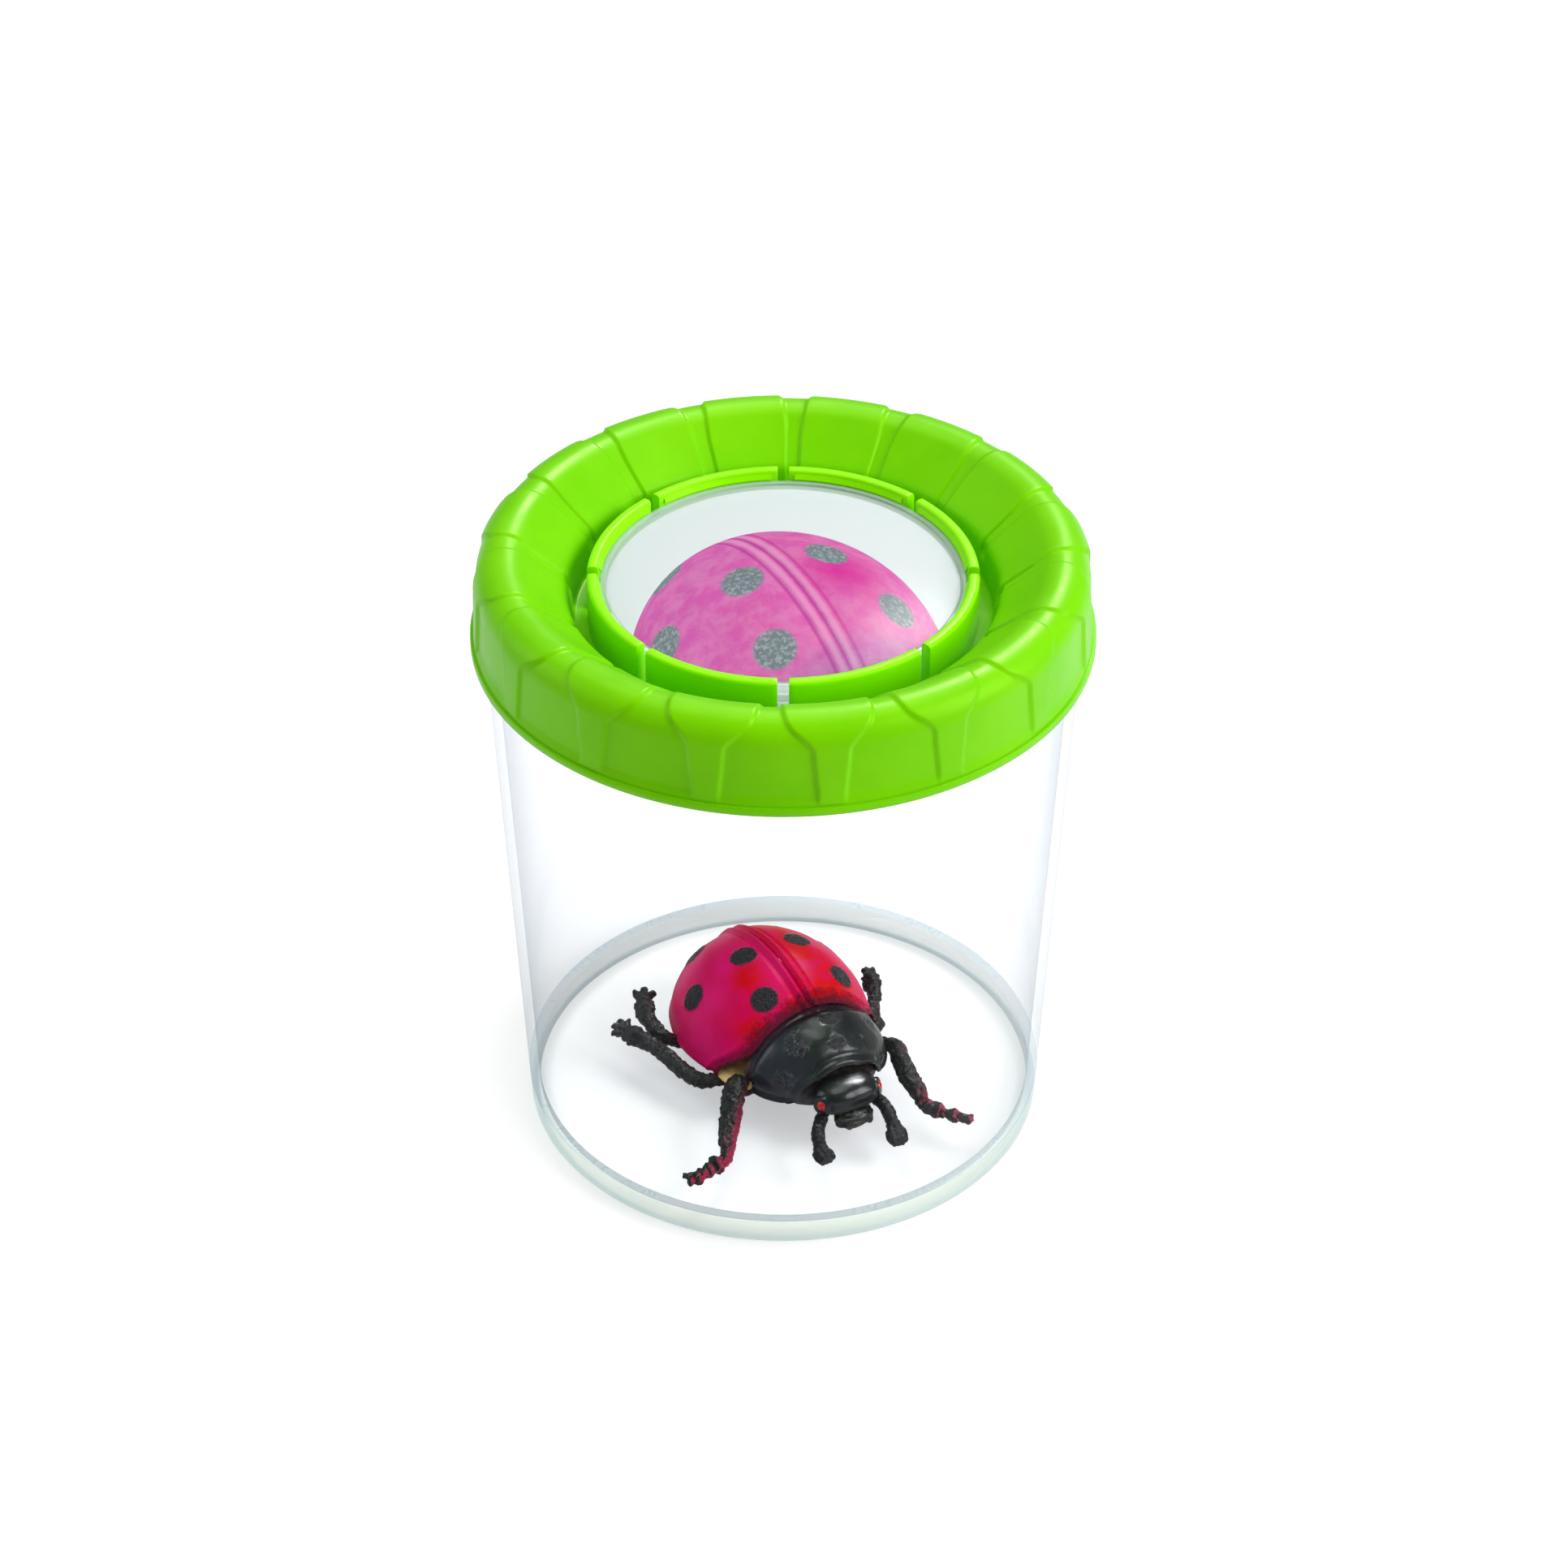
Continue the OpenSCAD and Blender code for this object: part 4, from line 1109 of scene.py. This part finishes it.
def leg_share_point(share):
    def reach(value, half, limit):
        size = min(abs(value), 1) * half + max(abs(value) - 1, 0) * (limit - half)
        return math.copysign(size, value)
    return Vector((reach(share[0], case_half.x, leg_reach.x), reach(share[1], case_half.y, leg_reach.y),
                   share[2] * case_half.z))


def feeler_share_point(share):
    return Vector((head_x + share[0] * head_half.x, share[1] * head_half.y, share[2] * head_half.z))


def on_route(route, share):
    """A smooth curve through the route's points and radii."""
    at = share * (len(route) - 1)
    i = min(int(at), len(route) - 2)
    t = at - i
    a, b, c, d = route[max(i - 1, 0)], route[i], route[i + 1], route[min(i + 2, len(route) - 1)]
    square = 2 * a - 5 * b + 4 * c - d
    cube = 3 * b - a - 3 * c + d
    return 0.5 * (2 * b + (c - a) * t + square * t ** 2 + cube * t ** 3)


def swept(name, route, columns, rows, swell, blunt=2):
    """A closed tube along a route of (x, y, z, radius); swell(around, along) scales its radius.

    Its end is round where blunt is 2, and flatter the higher that is.
    """
    def point_at(across, along):
        here = on_route(route, along)
        ahead = on_route(route, min(along + 0.01, 1)) - on_route(route, max(along - 0.01, 0))
        way = ahead.to_3d().normalized()
        sideways = Vector((0, 0, 1)).cross(way).normalized()
        above = way.cross(sideways)
        around = 2 * math.pi * across
        cap = max(0, 1 - max(0, 1 - along / 0.03, 1 - (1 - along) / 0.05) ** blunt) ** (1 / blunt)
        radius = here[3] * cap * swell(around, along)
        return here.to_3d() + radius * (math.cos(around) * sideways + math.sin(around) * above)
    return draped(name, columns, rows, point_at)


def claw(root, way, length, thick):
    """A short blunt claw that leaves a foot in this direction and bends up a little."""
    tip = root + way * length + Vector((0, 0, 0.12 * length))
    route = [Vector((*(root - way * 0.8 * MM), thick)), Vector((*root.lerp(tip, 0.35), thick)),
             Vector((*root.lerp(tip, 0.75), thick * 0.8)), Vector((*tip, thick * 0.62))]
    return swept("claw", route, 12, 12, lambda around, along: 1)


def leg_piece(name, material):
    """A leg with bark on its limb, beads and small side claws on its foot, and claws at its end."""
    route = [Vector((*leg_share_point(share), share[3] * leg_thick / 2)) for share in leg_routes[name]]
    foot_start = 0.62
    claw_thick = 0.85 * MM

    def swell(around, along):
        knobs = smooth_step(foot_start - 0.05, foot_start + 0.08, along)
        beads = 0.12 * math.cos((along - foot_start) * 2 * math.pi / 0.125) * knobs
        across = (math.cos(around) * 1.3, math.sin(around) * 1.3 + len(name))
        bark = noise.noise(Vector((along * 16, *across)))
        return 1 + beads + 0.11 * bark + 0.05 * math.cos(3 * around + along * 9)

    parts = [swept("limb", route, 32, 24 * (len(route) - 1), swell)]
    last = route[-1].to_3d()
    bearing = (route[-1] - route[-2]).to_3d()
    heading = math.atan2(bearing.y, bearing.x)
    for turn, lift, length in claw_fans[name]:
        angle = heading + math.radians(turn)
        rise = math.radians(lift)
        flat = math.cos(rise)
        way = Vector((math.cos(angle) * flat, math.sin(angle) * flat, math.sin(rise)))
        parts.append(claw(last, way, length * MM, claw_thick))
    for share, side in ((0.70, 1), (0.78, -1), (0.85, 1), (0.91, -1)):
        here = on_route(route, share)
        across = Vector((-math.sin(heading), math.cos(heading), 0.1)) * side
        way = (across + bearing.normalized() * 0.7).normalized()
        parts.append(claw(here.to_3d() + across * here[3] * 0.6, way, 1.0 * MM, 0.5 * MM))
    leg = joined("leg_" + name + "_limb", parts)
    apply_modifier(leg, "REMESH", mode="VOXEL", voxel_size=0.13 * MM)
    bark = bpy.data.textures.new("bark_" + name, "STUCCI")
    bark.noise_scale = 0.8 * MM
    apply_modifier(leg, "DISPLACE", texture=bark, strength=0.55 * MM, mid_level=0.5,
                   texture_coords="LOCAL")
    apply_modifier(leg, "SMOOTH", factor=0.5, iterations=1)
    finished(leg, "ladybird", ["leg_" + name], [material], bug_place, sharp=80)


def feeler_piece(name, material):
    route = [Vector((*feeler_share_point(share), share[3] * feeler_thick / 2))
             for share in feeler_routes[name]]
    rib_count = 13
    groove_count = 8

    def swell(around, along):
        stalk = 1 - smooth_step(0.62, 0.68, along)
        ribs = 0.22 * (abs(math.cos(along * math.pi * rib_count)) - 0.4) * stalk
        club = smooth_step(0.66, 0.74, along)
        grooves = 0.11 * math.cos(around * groove_count) * club
        flat = 1 + club * 0.45 * (math.cos(around) ** 2 - 0.7)
        wave = noise.noise(Vector((along * 20, math.cos(around), math.sin(around))))
        return (1 + ribs + grooves + 0.06 * wave) * flat

    feeler = swept("feeler_" + name + "_limb", route, 64, 260, swell, blunt=6)
    finished(feeler, "ladybird", ["feeler_" + name], [material], bug_place, sharp=80)


# Floor, light and camera
def add_ground():
    """A white floor with a glow of its own for the camera, which rises away from the jar."""
    deselect()
    bpy.ops.mesh.primitive_plane_add(size=6, location=(0, 0, -0.1 * MM))
    ground = bpy.context.object
    ground.name = "ground"
    f = Finish("ground_white")
    # Slightly magenta, to cancel the green light that the lid throws on the floor.
    matt = f.node("ShaderNodeBsdfDiffuse", {"Color": (0.805, 0.79, 0.805, 1)}).outputs[0]
    near_glow = 0.25
    under_jar_glow = 0.22
    # Painted light: extra glow under the jar lifts the shade that the jar and its lid cast inside it.
    under_jar = f.near((0, 0, 0), foot_radius - 5 * MM, foot_radius - 1.5 * MM)
    level = f.span(f.near((0, 0, 0), 0.3, 1.2), 0, 1, 1.0, near_glow)
    level = f.plus(level, f.times(under_jar, under_jar_glow))
    glow = f.node("ShaderNodeEmission", {"Strength": f.times(f.seen_rays(), level)}).outputs[0]
    ground.data.materials.append(f.done(f.node("ShaderNodeAddShader", {0: matt, 1: glow}).outputs[0]))


def add_world():
    """A white room: full white where the camera sees it, dimmer as a light, dimmest in reflections."""
    room_light = 0.39
    reflections_less = 0.28
    world = bpy.data.worlds.new("studio")
    bpy.context.scene.world = world
    world.use_nodes = True
    w = Nodes(world.node_tree)
    level = w.node("ShaderNodeMapRange", {
        "Value": w.seen_rays(), "To Min": room_light, "To Max": 1.0,
    }).outputs["Result"]
    reflected = w.node("ShaderNodeLightPath").outputs["Is Glossy Ray"]
    back = w.tree.nodes["Background"]
    back.inputs["Color"].default_value = (1, 1, 1, 1)
    w.tree.links.new(w.sum("MULTIPLY_ADD", reflected, -reflections_less, level), back.inputs["Strength"])


def add_lamp(name, place, aim, size, power, colour=(1, 1, 1), only_gloss=False):
    """A softbox of this size at a place, aimed at a point; its power is in watts."""
    data = bpy.data.lights.new(name, "AREA")
    data.shape = "RECTANGLE"
    data.size, data.size_y = size
    data.energy = power
    data.color = colour
    lamp = bpy.data.objects.new(name, data)
    bpy.context.scene.collection.objects.link(lamp)
    lamp.location = place
    lamp.rotation_euler = (Vector(place) - Vector(aim)).to_track_quat("Z", "Y").to_euler()
    lamp.visible_diffuse = not only_gloss


def add_camera():
    data = bpy.data.cameras.new("photo_camera")
    data.sensor_width = sensor_width
    data.lens = focal_length
    data.shift_x = 0.0005
    data.clip_start = 0.01
    camera = bpy.data.objects.new("photo_camera", data)
    bpy.context.scene.collection.objects.link(camera)
    camera.location = camera_place
    camera.rotation_euler = (camera_tilt, 0, 0)
    bpy.context.scene.camera = camera


add_camera()
add_world()
add_ground()
add_lamp("top_softbox", (0.05, 0.32, 1.25), (0, 0, 0.08), (1.2, 0.8), 9)
add_lamp("left_softbox", (-1.0, 0.15, 0.55), (0, 0, 0.03), (0.5, 0.7), 2.2, (0.84, 0.91, 1))
add_lamp("back_sparkle", (0.25, 0.75, 0.85), (0, 0, 0.03), (0.22, 0.22), 8, only_gloss=True)
add_lamp("right_softbox", (1.0, -0.35, 0.75), (0, 0, 0.06), (0.7, 0.9), 12.5)
bpy.context.scene.view_settings.view_transform = "Standard"

green = lid_plastic("lid_green", (0.160, 0.590, 0.000), (0.180, 0.620, 0.000))
# Painted light: a lighter copy of the lid's green for the fingers, brightening them in the moat's shade.
painted_light_green = lid_plastic("lid_green_painted_light", (0.250, 0.830, 0.000), (0.270, 0.860, 0.000))
jar_wall_piece([clear_plastic("clear_wall", (0.980, 0.987, 0.994), (0.93, 0.95, 0.965), 0.35),
                clear_plastic("clear_neck", (0.955, 0.968, 0.978), (0.70, 0.77, 0.82), 0.6)])
jar_base_pieces(clear_plastic("clear_floor", (0.996, 0.999, 1.0), (0.96, 0.98, 0.99), 0.5),
                foot_plastic())
padded_ring_piece(green)
spring_finger_pieces(painted_light_green)
lens_clear = clear_plastic("lens_clear", (0.93, 0.955, 0.96), (0.70, 0.76, 0.74), 1.0)
# The skirt's grey-green painted haze stands in for the green collar seen through it.
lens_skirt_clear = clear_plastic("lens_skirt_clear", (0.88, 0.93, 0.91), (0.62, 0.70, 0.66), 1.0, 0.4,
                                 (0.50, 0.60, 0.54))
lens_piece([lens_clear, lens_plastic(), lens_skirt_clear])

red = case_paint()
shield_black = body_black("shield_black", False)
head_black = body_black("head_black", True)
limb = limb_black("limb_black", 1.0)
feeler_paint = limb_black("feeler_black", 0.0)
wing_case_pieces(red)
neck_shield_piece(shield_black)
underbody_piece(belly_plastic())
head_pieces(head_black, eye_paint())
mouth_piece(mouth_paint())
for leg_name in leg_routes:
    leg_piece(leg_name, limb)
for feeler_name in feeler_routes:
    feeler_piece(feeler_name, feeler_paint)
